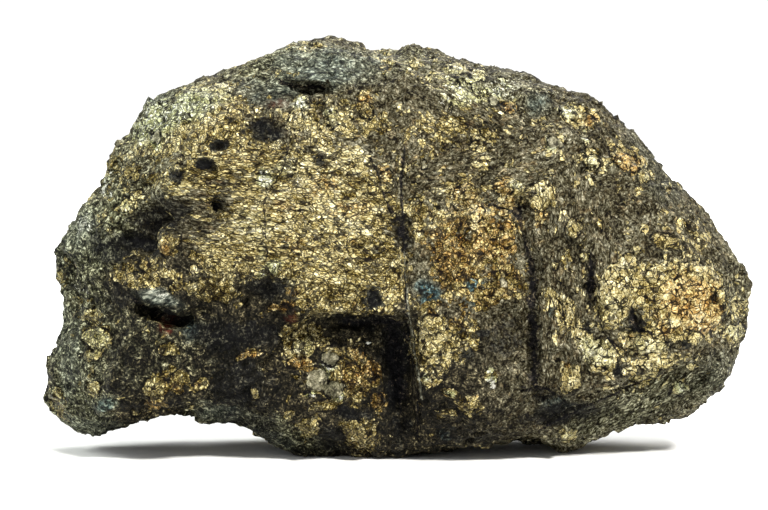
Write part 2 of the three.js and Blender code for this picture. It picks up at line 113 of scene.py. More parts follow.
# Smooth noise: the size of its lumps in mm, and how far along one way through it it is read
NOISES = {
    "broad": (13, 11.2),
    "middling": (5, 4.4),
    "pale": (7, 7.7),
    "teal": (9, 2.2),
    "clump": (5, 15.1),
    "night": (4, 21.7),
    "swell": (5, 1.3),
    "tooth": (0.95, 9.9),
    "pits": (1.9, 14.2),
}
NOISE_WAY = np.array((1, 1.7, -0.6))

# How outlines wander across and up the frame: (pixels, size in mm, where the noise is read)
SWAYS = {
    "cracks": ([(1.5, 3, 6.1), (1.2, 1.2, 6.1)], [(1.5, 3, 9.4), (1.2, 1.2, 9.4)]),
    "clumps": ([(4.5, 2.6, 4.2), (3, 1.2, 4.2)], [(4.5, 2.6, 13.3), (3, 1.2, 13.3)]),
    "patches": ([(6, 5, 3.1), (6, 1.9, 8.3)], [(6, 5, 5.7), (6, 1.9, 1.9)]),
}

# Ground that the eye can't see comes in patches too: shares of the noises, the heights where a
# patch starts and where it is full, and the most there is of it
UNSEEN_PATCHES = {
    "brass": ({"broad": 1, "middling": 0.7}, -0.15, 0.45, 0.85),
    "tarnish": ({"broad": -1, "middling": 1}, 0.1, 0.8, 0.7),
    "pale": ({"pale": 1}, 0.3, 0.6, 0.5),
    "black": ({"broad": -0.5, "middling": -1}, 0.35, 0.7, 0.5),
    "teal": ({"teal": 1}, 0.2, 0.5, 0.5),
}

# The rest of it rises and falls with a noise: the noise, its share, and its middle
UNSEEN_SWELLS = {
    "crust": ("middling", 0.4, 0.35),
    "slate": ("broad", 0.3, 0.4),
    "coarse": ("broad", 0.4, 0.5),
    "clump": ("clump", 9, -3.5),
    "night": ("night", 7, -3.5),
}

# Broken faces on the skin: how wide they are in mm, and where their noise is read. The dice for
# a face's lean are thrown at its middle times a number that keeps neighbours apart.
BREAKS = (3.2, 2.7)
GRAINS = (1.5, 6.3)
LEAN_DICE = 7.31

# How far each kind of roughness moves the skin out, in mm
LIFTS = {
    "all": -0.3,
    "swell": 0.3,
    "breaks": 1.1,
    "grains": 0.6,
    "tooth": 0.12,
    "pits": -0.75,
    "crack": -0.8,
    "black": -0.3,
    "brass": 0.15,
    "night": -0.5,
    "clump": 0.3,
    "clump_rim": -0.25,
}

# Where the shape of each of these starts, and where it is full
PITS_SHAPE = (0.28, 0.5)
CRACK_SHAPE = (0.5, 1.8)
NIGHT_SHAPE = (-0.5, 2)
CLUMP_SHAPE = (0, 4)
CLUMP_RIM_SHAPE = (0, 2)

# How much smoother slate is, how much rougher crusts are, and how much of the pits brass is spared
TEAL_SMOOTHER = 0.6
CRUST_ROUGHER = 0.2
BRASS_SPARED = 0.75

# What each corner of the skin keeps of its ground
MARKS = (
    "brass", "tarnish", "dull", "pale", "black", "teal", "rust", "blue", "crack_side", "crack_gap",
    "slate", "coarse", "crust", "clump", "quartz", "night", "ridge_side", "ridge",
)

# The sheets of the skin's own map, one for each side of the stone: the two ways across the side,
# and the sheet's left, bottom, width and height on the map
SHEETS = [
    (1, 2, 0.64, 0.36, 0.1, 0.05),  # the left end
    (1, 2, 0.8, 0.36, 0.1, 0.05),  # the right end
    (0, 2, 0.0, 0.42, 0.98, 0.57),  # the broken face
    (0, 2, 0.0, 0.0, 0.62, 0.36),  # the back
    (0, 1, 0.64, 0.0, 0.34, 0.14),  # underneath
    (0, 1, 0.64, 0.16, 0.34, 0.18),  # the top
]

# The ore's crystals, from lumps to salt, in mm
CRYSTALS = (2.6, 1.3, 0.66, 0.4)

# How the crystals' outlines wander: the size of the wander and how far it goes, in mm
STRAYS = ((1.5, 0.9), (0.45, 0.28))

# The ore's clouds: size in mm, detail and roughness
CLOUDS = {
    "patchy": (2.8, 3, 0.55),
    "cloudy": (1.3, 3, 0.6),
    "grit": (0.75, 3, 0.7),
    "fine": (0.35, 2, 0.7),
    "broad": (5, 3, 0.55),
    "glint": (0.24, 2, 0.55),
    "pits": (1.2, 2, 0.6),
}

# Colours from dark to light: where each stands from 0 to 1, and its name as the eye sees it
TONES = {
    "yellow": [
        (0.16, "120b00"), (0.3, "4a3d14"), (0.43, "8a7b4a"), (0.56, "b9ab78"), (0.72, "ddd2a2"),
        (0.9, "fbf4d2"),
    ],
    "orange": [(0.16, "140a02"), (0.32, "533810"), (0.48, "9c7338"), (0.64, "c9a462"), (0.86, "f8e6b4")],
    "straw": [(0.16, "3c3a1c"), (0.34, "77764c"), (0.5, "a9a97c"), (0.66, "d0d0a8"), (0.86, "fdfdee")],
    "white": [(0.2, "3c3b33"), (0.5, "a3a192"), (0.8, "f2f1e6")],
    "olive": [
        (0.14, "050300"), (0.3, "201a0b"), (0.44, "433e2b"), (0.58, "635f4c"), (0.74, "86826d"),
        (0.92, "bdb8a0"),
    ],
    "brown": [
        (0.14, "050200"), (0.3, "221707"), (0.44, "44351d"), (0.58, "675536"), (0.74, "8a774f"),
        (0.92, "bca97b"),
    ],
    "dark": [
        (0.15, "040402"), (0.35, "12110c"), (0.5, "232017"), (0.65, "3f392a"), (0.78, "686046"),
        (0.92, "b0a47c"),
    ],
    "worn": [
        (0.14, "060602"), (0.33, "242316"), (0.48, "474632"), (0.62, "696850"), (0.76, "949275"),
        (0.92, "cfcdb0"),
    ],
    "slaty": [(0.15, "151a18"), (0.33, "343a35"), (0.48, "4f554c"), (0.64, "70756a"), (0.85, "babfae")],
    "sheen": [(0.2, "070b0c"), (0.4, "16282c"), (0.56, "2f4f54"), (0.8, "8aa39e")],
    "glassy": [(0.1, "28251a"), (0.35, "5f5c47"), (0.6, "87826a"), (0.85, "bcb69c")],
    "black_and_shadow": [(0.3, "070708"), (0.55, "171817"), (0.85, "575548")],
    # crack: dark cracks, and painted shadow along deep corners
    "crack": [(0.35, "060608"), (0.55, "151417"), (0.74, "3b342c"), (0.9, "887a5e")],
    "ridge": [(0.3, "4c4c3f"), (0.7, "b9b8a2")],
}

# Colours of the seams, the painted shade in pits, lines round lumps and rust, and the tint of crusts
BRASS_SEAM = "0c0907"
ORE_SEAM = "070504"
PIT_SHADE = "120e0b"
LUMP_RIM = "0b0907"
RED_RUST = "5e2a1e"
# The crusts' greenish tint is partly painted cool light on the left of the stone
CRUST_AND_COOL_LIGHT_TINT = (0.96, 1.0, 0.97, 1)

# Where each marking of the ore starts to show and where it shows in full. For rims, cracks and
# the ridge it is where they start to fade, and where they end.
EDGES = {
    "brass": (0.49, 0.52),
    "inside": (0.3, 1.0),
    "specks": (0.85, 0.95),
    "quartz": (0.45, 0.6),
    "pits": (0.6, 0.64),
    "rims": (0.4, 1.1),
    "black": (0.46, 0.66),
    "night": (0, 0.8),
    "crack": (0.45, 0.95),
    "crack_gap": (2.0, 2.6),
    "ridge": (0.5, 1),
}

# How much each covers of what is under it, or how dark a seam is
COVERS = {
    "lump_seams": 0.8,
    "lace": 0.88,
    "seams": 0.94,
    "ore_seams": 0.6,
    "pits": 0.85,
    "rims": 0.92,
    "black": 0.8,
    "night": 0.88,
    "crack": 0.94,
    "ridge": 0.75,
}

# How soft the edges of the seams are, as shares of a crystal's size
SEAM_EDGES = {"lump": 0.025, "big": 0.05, "lace": 0.08, "ore": 0.03}

# How much the faces of big, small and salt crystals lean, and how high the rest stands out
LEANS = (0.65, 0.6, 0.4)
FINE_HEIGHT = 0.1 * MM
GRIT_HEIGHT = 0.2 * MM
SEAM_DEPTH = 0.06 * MM

# Where a Mix node of colours has its factor and its two colours
MIX_SOCKETS = (0, 6, 7)

# How metallic, rough and shiny the brass and the ore are
BRASS_METAL = 0.4
ORE_ROUGHNESS = 0.6
BRASS_SMOOTHER = 0.2
ORE_SHINE = 0.07

# The floor
FLOOR_RADIUS = 6
FLOOR_CORNERS = 96
FLOOR_COLOUR = "f4f4f2"
FLOOR_ROUGHNESS = 0.9
FLOOR_SHINE = 0.1

# The studio: how bright it is all round, and how bright its wall looks to the eye
ROOM_LIGHT = 0.35
WALL_LIGHT = 1.1
WHITE = (1, 1, 1, 1)

# Its lamps: energy, spread, the way round from the eye's own side to the right, the height, all
# three in degrees, and the colour
LAMPS = {
    "key": (5.6, 9, 32, 44, (1.0, 0.98, 0.95)),
    "fill": (0.8, 60, -35, 25, (0.94, 0.97, 1.0)),
    "left_rim": (2.0, 25, -112, 38, (0.95, 1.0, 0.97)),
    "back": (2.4, 40, 165, 48, (1.0, 1.0, 1.0)),
}

# Ground that the eye sees, as patches: (x, y, half width, half height, turn, amount) in pixels
# and degrees. Brass is how much of the ground the brassy grains cover.
BRASS = [
    (250, 175, 185, 125, 0, 0.42), (470, 210, 90, 120, 0, 0.36), (640, 300, 110, 120, 0, 0.34),
    (330, 370, 80, 80, 0, 0.3), (560, 160, 130, 60, 20, 0.28), (130, 340, 90, 80, 0, 0.24),
    (200, 120, 66, 34, -18, 0.95), (160, 132, 36, 26, -30, 0.8), (235, 150, 60, 34, -10, 0.9),
    (225, 92, 22, 10, 0, 0.7), (120, 170, 24, 20, -50, 0.6), (190, 178, 55, 18, -5, 0.75),
    (290, 195, 64, 60, 0, 0.97), (345, 205, 58, 62, 0, 0.9), (330, 270, 70, 46, 0, 0.92),
    (255, 235, 40, 42, 0, 0.85), (225, 262, 34, 22, 8, 0.82), (385, 275, 26, 45, 0, 0.8),
    (330, 140, 62, 26, 0, 0.6), (302, 115, 13, 20, -15, 1.0), (334, 116, 15, 15, 0, 0.85),
    (366, 106, 12, 14, 20, 0.85), (310, 48, 28, 8, -6, 0.5), (384, 60, 12, 16, 0, 0.55),
    (420, 70, 22, 12, 10, 0.45), (462, 86, 42, 24, 20, 0.62), (500, 92, 26, 16, 15, 0.45),
    (440, 135, 52, 36, -20, 0.5), (484, 138, 12, 14, 20, 0.9), (372, 122, 20, 12, 30, 0.7),
    (418, 222, 24, 34, 0, 0.68), (464, 200, 20, 20, 0, 1.0), (470, 235, 52, 40, 0, 0.85),
    (480, 280, 52, 34, 0, 0.74), (430, 300, 24, 30, 0, 0.6), (512, 187, 15, 9, -12, 1.0),
    (506, 200, 10, 9, 0, 0.9), (436, 345, 32, 30, 0, 0.95), (462, 330, 20, 16, 0, 0.7),
    (428, 379, 8, 6, 0, 1.0), (452, 392, 12, 8, 30, 0.9), (490, 374, 7, 11, 0, 1.0),
    (470, 407, 14, 12, 35, 0.8), (440, 415, 14, 8, 0, 0.5), (435, 434, 8, 5, 0, 0.6),
    (541, 196, 17, 16, 0, 0.97), (541, 217, 6, 10, 10, 0.8), (574, 230, 7, 12, 10, 0.7),
    (567, 253, 7, 8, 0, 0.6), (557, 263, 10, 8, 0, 0.35), (574, 117, 19, 15, 20, 0.92),
    (588, 121, 6, 8, 0, 1.0), (553, 142, 9, 6, -10, 1.0), (585, 136, 6, 4, 0, 1.0),
    (586, 150, 17, 9, 0, 0.6), (588, 163, 14, 8, 20, 0.85), (628, 158, 19, 12, 20, 0.85),
    (648, 175, 9, 7, 20, 0.85), (637, 192, 6, 8, 0, 0.6), (672, 188, 9, 7, 0, 0.6),
    (662, 243, 16, 8, 10, 0.75), (692, 224, 14, 10, 30, 0.5), (703, 240, 12, 16, 20, 0.55),
    (715, 262, 8, 10, 0, 0.5), (628, 278, 20, 24, 0, 0.88), (612, 305, 20, 24, 0, 0.95),
    (648, 292, 26, 18, 0, 0.8), (690, 300, 38, 34, 0, 0.97), (662, 332, 40, 14, -6, 0.9),
    (700, 335, 20, 10, 0, 0.7), (738, 305, 7, 12, 0, 0.8), (733, 336, 12, 9, 0, 0.75),
    (742, 280, 6, 14, 0, 0.5), (586, 337, 17, 10, 15, 0.97), (600, 357, 15, 20, -15, 0.98),
    (548, 300, 14, 14, 0, 0.6), (568, 312, 12, 18, -15, 0.75), (570, 377, 10, 18, 0, 0.92),
    (640, 370, 28, 16, 0, 0.6), (681, 389, 10, 6, -15, 0.95), (568, 436, 12, 7, 10, 0.75),
    (660, 360, 30, 10, 0, 0.6), (139, 272, 30, 19, -10, 0.72), (168, 240, 13, 18, 0, 0.97),
    (180, 286, 10, 6, 0, 0.7), (95, 335, 17, 30, 0, 0.6), (92, 389, 9, 8, 0, 0.75),
    (56, 396, 8, 8, 0, 0.7), (62, 411, 14, 9, 35, 0.7), (172, 352, 10, 10, 0, 0.55),
    (165, 385, 28, 19, -25, 0.6), (160, 404, 16, 9, -25, 0.66), (200, 384, 9, 8, 0, 0.75),
    (247, 356, 14, 6, 0, 0.6), (256, 394, 8, 8, 0, 0.65), (236, 370, 10, 12, 0, 0.35),
    (213, 290, 24, 14, 8, 0.8), (280, 308, 15, 5, 0, 0.8), (348, 305, 48, 14, 0, 0.85),
    (297, 340, 22, 22, 0, 0.75), (312, 340, 12, 13, 0, 0.97), (345, 378, 44, 34, 10, 0.72),
    (300, 362, 16, 8, 0, 0.85), (378, 402, 10, 11, 0, 1.0), (326, 404, 22, 8, 5, 0.85),
    (364, 436, 22, 22, 0, 0.6), (309, 427, 10, 12, 0, 0.6), (393, 412, 10, 10, 0, 0.45),
    (72, 250, 14, 10, -30, 0.4), (62, 276, 12, 14, 0, 0.45), (112, 205, 14, 12, -30, 0.4),
]

# Brass that is orange to brown with tarnish
TARNISH = [
    (275, 210, 26, 7, 6, 0.5), (320, 185, 20, 10, 0, 0.45), (350, 212, 24, 9, -8, 0.6),
    (290, 245, 22, 6, 4, 0.5), (388, 172, 9, 10, 0, 0.6), (366, 101, 8, 7, 0, 0.7),
    (225, 85, 12, 6, 0, 0.35), (236, 163, 12, 7, 0, 0.35), (280, 290, 20, 8, 0, 0.5),
    (464, 210, 18, 14, 0, 0.5), (500, 235, 34, 48, 0, 0.62), (455, 250, 46, 34, 0, 0.7),
    (465, 195, 20, 14, 0, 0.5), (470, 300, 50, 26, 0, 0.4), (508, 202, 10, 8, 0, 0.7),
    (541, 220, 6, 8, 0, 0.6), (588, 122, 7, 8, 0, 0.75), (632, 165, 15, 8, 0, 0.55),
    (642, 154, 6, 6, 0, 0.6), (576, 145, 12, 6, 0, 0.4), (692, 298, 34, 28, 0, 0.8),
    (668, 330, 14, 8, 0, 0.5), (628, 344, 8, 8, 0, 0.7), (570, 359, 8, 6, 0, 0.7),
    (440, 395, 30, 14, 20, 0.35), (160, 405, 18, 9, -25, 0.65), (180, 385, 20, 12, 0, 0.5),
    (281, 308, 15, 6, 0, 0.75), (302, 363, 15, 7, 0, 0.75), (366, 378, 24, 18, 0, 0.55),
    (378, 402, 10, 11, 0, 0.7), (368, 334, 10, 4, 0, 0.95), (358, 353, 7, 9, 0, 0.7),
    (168, 240, 12, 16, 0, 0.35), (250, 352, 14, 6, 0, 0.5), (505, 110, 9, 4, 0, 0.9),
    (455, 165, 26, 8, 20, 0.3),
]

# Brass that is dull and darker, partly painted shade where it lies in hollows and low on the face
DULL_AND_SHADED = [
    (470, 274, 54, 48, 0, 0.7), (345, 382, 44, 36, 10, 0.6), (165, 388, 40, 26, -20, 0.6),
    (500, 335, 30, 40, 0, 0.7), (440, 420, 60, 26, 0, 0.5), (390, 250, 14, 60, 0, 0.4),
    (215, 180, 60, 30, 10, 0.35), (250, 300, 60, 18, 0, 0.35), (640, 300, 12, 30, 0, 0.4),
    (440, 125, 60, 40, -20, 0.3), (300, 420, 60, 20, 0, 0.4),
]

# Brass, quartz and crusts that are nearly white
PALE = [
    (150, 118, 44, 30, -25, 0.68), (190, 105, 44, 20, -12, 0.62), (157, 139, 6, 8, 0, 0.9),
    (268, 177, 9, 10, 0, 0.9), (300, 105, 9, 8, 0, 0.9), (330, 112, 9, 8, 0, 0.6),
    (465, 90, 40, 22, 20, 0.55), (505, 88, 26, 15, 15, 0.7), (444, 103, 6, 6, 0, 0.8),
    (566, 113, 12, 9, 0, 0.6), (553, 142, 9, 6, 0, 0.75), (585, 136, 6, 4, 0, 1.0),
    (512, 185, 14, 7, -10, 0.55), (541, 193, 15, 12, 0, 0.35), (610, 305, 22, 26, 0, 0.35),
    (590, 350, 20, 20, 20, 0.5), (653, 345, 26, 8, 0, 0.35), (681, 389, 10, 6, 0, 0.7),
    (330, 362, 10, 8, 0, 1.0), (324, 377, 7, 7, 0, 1.0), (310, 391, 8, 6, 0, 1.0),
    (338, 396, 6, 7, 0, 1.0), (365, 342, 8, 2, 0, 0.9), (489, 366, 7, 5, -20, 1.0),
    (492, 381, 6, 9, 0, 1.0), (452, 391, 8, 6, 30, 0.7), (425, 377, 5, 4, 0, 0.7),
    (158, 293, 24, 7, 16, 0.7), (92, 350, 14, 14, 0, 0.35), (108, 186, 4, 16, 12, 0.95),
    (84, 226, 9, 12, 35, 0.85), (82, 290, 15, 5, 40, 0.8), (62, 262, 6, 8, 0, 0.6),
    (78, 244, 12, 8, 0, 0.5), (255, 225, 30, 30, 0, 0.35), (270, 268, 18, 8, -12, 0.6),
    (300, 215, 40, 30, 0, 0.25), (568, 436, 12, 6, 10, 0.4), (310, 50, 26, 6, 0, 0.35),
]

# Smooth dark ore where few grains show, and painted shade in hollows, under ledges, in the recess and
# along the groove
BLACK = [
    (266, 132, 22, 16, 0, 0.85), (219, 146, 10, 6, 10, 1.2), (207, 166, 12, 7, 8, 1.2),
    (177, 174, 8, 7, 0, 1.1), (217, 205, 6, 8, -15, 1.0), (160, 217, 36, 22, -12, 0.75),
    (112, 250, 28, 17, 0, 0.9), (140, 242, 24, 8, 12, 1.3), (100, 232, 12, 14, 0, 0.6),
    (320, 161, 12, 5, 5, 0.8), (402, 233, 11, 24, 0, 0.6), (404, 186, 3, 30, 0, 0.3),
    (373, 298, 10, 13, 0, 0.8), (268, 286, 30, 13, 0, 0.8), (300, 268, 14, 6, 0, 0.45),
    (163, 314, 28, 4, 14, 1.4), (230, 335, 60, 19, 0, 0.75), (240, 385, 40, 34, 0, 0.6),
    (250, 425, 44, 22, 20, 0.7), (120, 300, 26, 16, 0, 0.55), (125, 365, 30, 40, 0, 0.4),
    (372, 321, 34, 7, 0, 0.95), (395, 350, 17, 30, 0, 1.0), (393, 385, 11, 30, 0, 0.9),
    (352, 415, 24, 6, 14, 0.8), (330, 440, 22, 20, 0, 0.6), (400, 430, 12, 26, 0, 0.6),
    (440, 412, 22, 12, 0, 0.4), (505, 330, 24, 26, 0, 0.5), (505, 345, 26, 14, 0, 0.6),
    (470, 365, 8, 8, 0, 0.3), (590, 285, 6, 24, 0, 0.85), (589, 325, 4, 14, 0, 0.8),
    (636, 331, 12, 6, 12, 0.9), (632, 318, 5, 10, 0, 0.7), (686, 345, 8, 6, 0, 0.6),
    (585, 153, 6, 5, 0, 0.7), (545, 397, 18, 6, 6, 0.75), (560, 414, 50, 11, -8, 0.9),
    (618, 371, 6, 9, 0, 0.7), (345, 318, 22, 5, 0, 0.6), (90, 412, 30, 16, 30, 0.45),
    (475, 434, 50, 9, 0, 0.5), (610, 235, 12, 40, 10, 0.3),
]

# Slate grey with a breath of blue or green
TEAL = [
    (160, 298, 25, 9, 16, 0.85), (272, 93, 42, 16, 4, 0.7), (330, 68, 52, 18, -4, 0.9),
    (292, 60, 24, 10, 0, 0.7), (540, 104, 13, 9, 0, 0.9), (430, 290, 16, 15, 0, 0.8),
    (472, 294, 11, 14, 0, 0.8), (190, 330, 9, 16, 0, 0.6), (104, 405, 12, 8, 0, 0.6),
    (70, 360, 12, 40, 8, 0.5), (60, 330, 10, 30, 0, 0.4), (218, 415, 24, 10, 10, 0.6),
    (275, 437, 24, 8, 20, 0.5), (374, 296, 9, 12, 0, 0.5), (75, 235, 20, 30, 30, 0.4),
    (150, 94, 24, 12, -30, 0.5), (655, 170, 20, 40, -38, 0.35), (560, 407, 24, 9, 0, 0.4),
    (720, 372, 30, 20, -40, 0.3), (90, 428, 40, 12, 10, 0.45),
]

# Small rusty red spots
RUST = [
    (166, 326, 7, 7, 0, 1.0), (275, 104, 10, 5, 0, 0.35), (288, 318, 9, 4, 0, 0.6),
]

# Spots with a blue-green sheen
BLUE = [
    (430, 292, 16, 15, 0, 1.0), (474, 292, 10, 15, 0, 1.0), (190, 332, 9, 15, 0, 0.7),
    (104, 405, 11, 8, 0, 0.7), (560, 405, 20, 8, 0, 0.6), (445, 432, 12, 7, 0, 0.6),
    (540, 104, 10, 7, 0, 0.5), (640, 190, 8, 30, 0, 0.35), (552, 310, 8, 10, 0, 0.6),
    (230, 410, 12, 8, 0, 0.5), (278, 285, 16, 8, 0, 0.4),
]

# Weathered, greenish and rougher ground, most of it near the stone's outline. Its lighter, greenish tone
# on the left rim is partly painted cool light wrapping round that side
CRUST = [
    (95, 235, 40, 75, 30, 1.0), (75, 330, 45, 100, 0, 0.9), (70, 410, 50, 40, 0, 1.0),
    (160, 110, 60, 34, -25, 0.9), (290, 65, 100, 30, 0, 0.8), (400, 60, 60, 20, 0, 0.6),
    (500, 85, 60, 24, 20, 0.5), (260, 430, 90, 22, 15, 0.8), (640, 405, 110, 26, -22, 0.7),
    (735, 300, 20, 60, 0, 0.4), (150, 350, 80, 60, 0, 0.5), (130, 170, 60, 50, -30, 0.7),
]

# Cracks, and painted shadow along deep corners, the recess and the groove: a line through the pixels,
# and its half width in pixels
CRACKS = [
    ([(404, 150), (401, 180), (403, 215), (405, 262), (407, 320)], 1.8),
    ([(407, 322), (411, 350), (417, 400), (418, 440)], 1.2),
    ([(292, 138), (284, 165), (270, 190), (264, 205), (266, 240)], 0.9),
    ([(371, 160), (379, 180), (388, 204), (400, 236)], 1.6),
    ([(181, 140), (182, 158), (176, 175)], 0.8),
    ([(560, 300), (566, 325), (588, 330)], 1.0),
    ([(592, 262), (596, 300), (602, 330), (618, 352)], 1.0),
    ([(466, 188), (462, 198), (470, 212)], 0.7),
    ([(500, 222), (499, 240)], 0.9),
    ([(135, 300), (150, 311), (186, 320)], 2.2),
    ([(540, 430), (562, 418), (600, 400), (650, 378)], 1.2),
    ([(519, 202), (522, 232), (529, 262)], 3.2),
    ([(531, 262), (532, 300), (534, 350), (534, 384)], 5.6),
    ([(486, 204), (500, 207), (513, 212), (521, 222)], 2.4),
    ([(522, 391), (535, 392), (546, 388), (566, 402)], 1.5),
    ([(591, 262), (590, 285), (588, 305)], 4.0),
    ([(342, 322), (404, 322)], 3.2),
    ([(393, 332), (395, 360), (399, 396)], 8.5),
    ([(633, 312), (636, 330), (648, 333)], 3.4),
    ([(402, 216), (404, 250)], 5.0),
    ([(282, 81), (292, 85), (306, 87), (324, 86)], 2.8),
]

# Pale worn edges, given in the same way as the cracks
RIDGES = [
    ([(404, 255), (407, 290), (410, 318), (413, 345), (418, 370), (422, 398)], 1.1),
]

# Lumps that stand out with a dark line round them: (x, y, half width, half height, turn)
CLUMPS = {
    "gold": [
        (465, 199, 17, 15, 0), (475, 214, 9, 8, 20), (540, 197, 15, 16, 0), (572, 228, 6, 10, -10),
        (555, 265, 4, 5, 0), (580, 334, 10, 8, 20), (572, 378, 11, 14, 0), (467, 402, 13, 9, 25),
        (495, 234, 6, 6, 0), (296, 120, 7, 9, 20), (137, 195, 8, 5, 0), (165, 197, 5, 4, 0),
        (169, 237, 11, 13, 0), (102, 229, 10, 6, 0), (66, 261, 5, 6, 0), (95, 315, 14, 7, 0),
        (92, 355, 12, 6, 0), (94, 389, 8, 7, 0), (55, 395, 7, 9, 0), (169, 350, 9, 7, 0),
        (157, 387, 15, 8, 0), (180, 382, 8, 16, 0), (201, 385, 9, 6, 0), (137, 412, 6, 5, 0),
        (255, 392, 5, 7, 0), (262, 372, 7, 5, 0), (312, 327, 8, 6, 0), (285, 332, 9, 8, 0),
        (325, 406, 15, 6, 0), (310, 427, 10, 11, 0), (360, 432, 18, 18, 0), (395, 432, 5, 13, 0),
        (615, 152, 6, 6, 0), (667, 242, 18, 8, 10), (630, 260, 8, 8, 0), (617, 287, 18, 22, 0),
        (652, 275, 8, 8, 0), (698, 281, 24, 20, 0), (736, 307, 7, 6, 0), (640, 373, 20, 8, 0),
        (567, 305, 7, 11, 0), (367, 111, 6, 8, 0), (485, 131, 6, 8, 0), (479, 146, 8, 5, 0),
        (460, 128, 6, 6, 0), (522, 137, 5, 5, 0), (386, 181, 8, 11, -20), (551, 172, 4, 3, 0),
        (432, 337, 17, 22, 0),
    ],
    "orange": [
        (505, 187, 12, 8, -15), (476, 394, 5, 5, 0), (165, 250, 6, 6, 0), (152, 405, 9, 6, 0),
        (252, 355, 14, 5, 0), (300, 364, 14, 6, 0), (357, 355, 6, 9, 0), (372, 370, 11, 9, 0),
        (376, 400, 7, 10, 0), (390, 407, 5, 4, 0), (370, 335, 6, 4, 0), (279, 307, 12, 4, 5),
        (588, 122, 5, 5, 0), (626, 161, 15, 8, 20), (702, 315, 22, 18, 0), (360, 100, 5, 4, 0),
        (510, 108, 8, 5, 0),
    ],
    "pale": [
        (585, 258, 5, 5, 0), (602, 352, 15, 17, 10), (427, 380, 8, 5, 10), (452, 391, 9, 5, 20),
        (302, 103, 9, 10, 0), (332, 118, 9, 10, 0), (227, 87, 10, 6, 10), (285, 168, 11, 10, 0),
        (270, 178, 8, 10, 0), (125, 205, 8, 8, 0), (96, 337, 14, 11, 0), (260, 255, 8, 10, 0),
        (304, 347, 12, 11, 0), (282, 282, 12, 3, 5), (570, 110, 11, 10, 20), (592, 162, 8, 8, 0),
        (647, 175, 7, 5, 30), (667, 185, 8, 4, 30), (735, 332, 11, 8, 0), (645, 345, 26, 9, 0),
        (681, 389, 10, 6, -10), (450, 111, 3, 6, 0), (456, 68, 12, 5, 10), (480, 73, 10, 6, 0),
        (462, 83, 12, 3, 40),
    ],
    "quartz": [
        (156, 137, 6, 6, 0), (331, 360, 11, 7, 0), (317, 380, 9, 13, 20), (335, 390, 10, 9, 0),
        (585, 135, 4, 3, 0), (495, 100, 6, 5, 0), (555, 143, 8, 6, 0), (424, 166, 4, 4, 0),
    ],
    # Black blotches, partly painted shade in small hollows and notches
    "black": [
        (219, 146, 10, 6, 10), (207, 166, 11, 7, 10), (262, 130, 10, 9, 0), (274, 138, 9, 6, 0),
        (177, 174, 7, 5, 0), (217, 204, 5, 8, -15), (320, 161, 10, 4, 5), (373, 297, 8, 11, 0),
        (140, 242, 20, 7, 12), (636, 326, 9, 6, 0), (632, 316, 4, 8, 0), (686, 345, 6, 5, 0),
        (585, 153, 5, 4, 30), (618, 371, 6, 8, 0), (480, 335, 13, 4, 0), (469, 352, 4, 8, 0),
        (300, 152, 6, 3, 0), (232, 118, 5, 3, 0),
    ],
}

# Ground that lies in thin layers: a patch, the layers' slope, and how flat their grains are
LAYERS = [
    ((162, 298, 28, 12, 16, 1.0), -16, 2.4),
    ((255, 205, 95, 62, 0, 1.0), 5, 3.0),
    ((345, 215, 60, 90, 0, 1.0), 8, 1.8),
    ((490, 168, 80, 26, -8, 1.0), -10, 1.6),
    ((465, 110, 66, 26, 20, 1.0), 28, 1.8),
    ((575, 240, 44, 80, 0, 1.0), 86, 1.8),
    ((560, 345, 22, 60, 0, 1.0), 88, 1.8),
    ((640, 405, 90, 18, -22, 1.0), -40, 2.2),
    ((290, 78, 60, 26, 0, 1.0), 10, 1.8),
]


def smooth_step(value, low, high):
    """0 under low and 1 over high, with an even turn between."""
    share = np.clip((value - low) / (high - low), 0, 1)
    return share * share * (3 - 2 * share)


def deselect():
    bpy.ops.object.select_all(action="DESELECT")


def take(piece):
    """Makes one piece the only one that the next operators work on."""
    deselect()
    piece.select_set(True)
    bpy.context.view_layer.objects.active = piece


def apply_modifier(piece, name, kind, **settings):
    take(piece)
    modifier = piece.modifiers.new(name, kind)
    for key, value in settings.items():
        setattr(modifier, key, value)
    bpy.ops.object.modifier_apply(modifier=modifier.name)


def read(items, name, kind=float, width=1):
    """One property of all of a mesh's items: an array, with a row for each where width is over 1."""
    values = np.empty(len(items) * width, kind)
    items.foreach_get(name, values)
    return values.reshape(-1, width) if width > 1 else values


def noise_at(places, size, start):
    """Smooth noise from about -1 to 1 at each place, with lumps of the size given."""
    scaled = places / size + start * NOISE_WAY
    return np.array([noise.noise(place) for place in scaled.tolist()])


def named_noise(places, name):
    size, start = NOISES[name]
    return noise_at(places, size * MM, start)


def eye_way():
    """The way from the stone to the eye."""
    return Vector((0, -math.cos(EYE_LIFT), math.sin(EYE_LIFT)))


def seen_at(places):
    """The pixel that each place is seen at."""
    towards = np.array(eye_way())
    upwards = np.array((0, math.sin(EYE_LIFT), math.cos(EYE_LIFT)))
    from_middle = places - np.array(LOOKED_AT)
    away = EYE_AWAY - from_middle @ towards
    pixels_per_slope = LENS_MM / SENSOR_MM * FRAME_PX[0]
    x = FRAME_PX[0] / 2 + pixels_per_slope * from_middle[:, 0] / away
    y = FRAME_PX[1] / 2 - pixels_per_slope * (from_middle @ upwards) / away
    return x, y


def half_sizes_out(oval, x, y):
    """How many of an oval's own half sizes each pixel is from its middle."""
    mid_x, mid_y, wide, high, turn = oval
    angle = math.radians(turn)
    along = ((x - mid_x) * math.cos(angle) + (y - mid_y) * math.sin(angle)) / wide
    across = ((y - mid_y) * math.cos(angle) - (x - mid_x) * math.sin(angle)) / high
    return np.hypot(along, across)


def patch_share(patch, x, y):
    """How much of its amount a patch gives at each pixel, full inside and fading over its edge."""
    *oval, amount = patch
    return amount * (1 - smooth_step(half_sizes_out(oval, x, y), *PATCH_FADE))


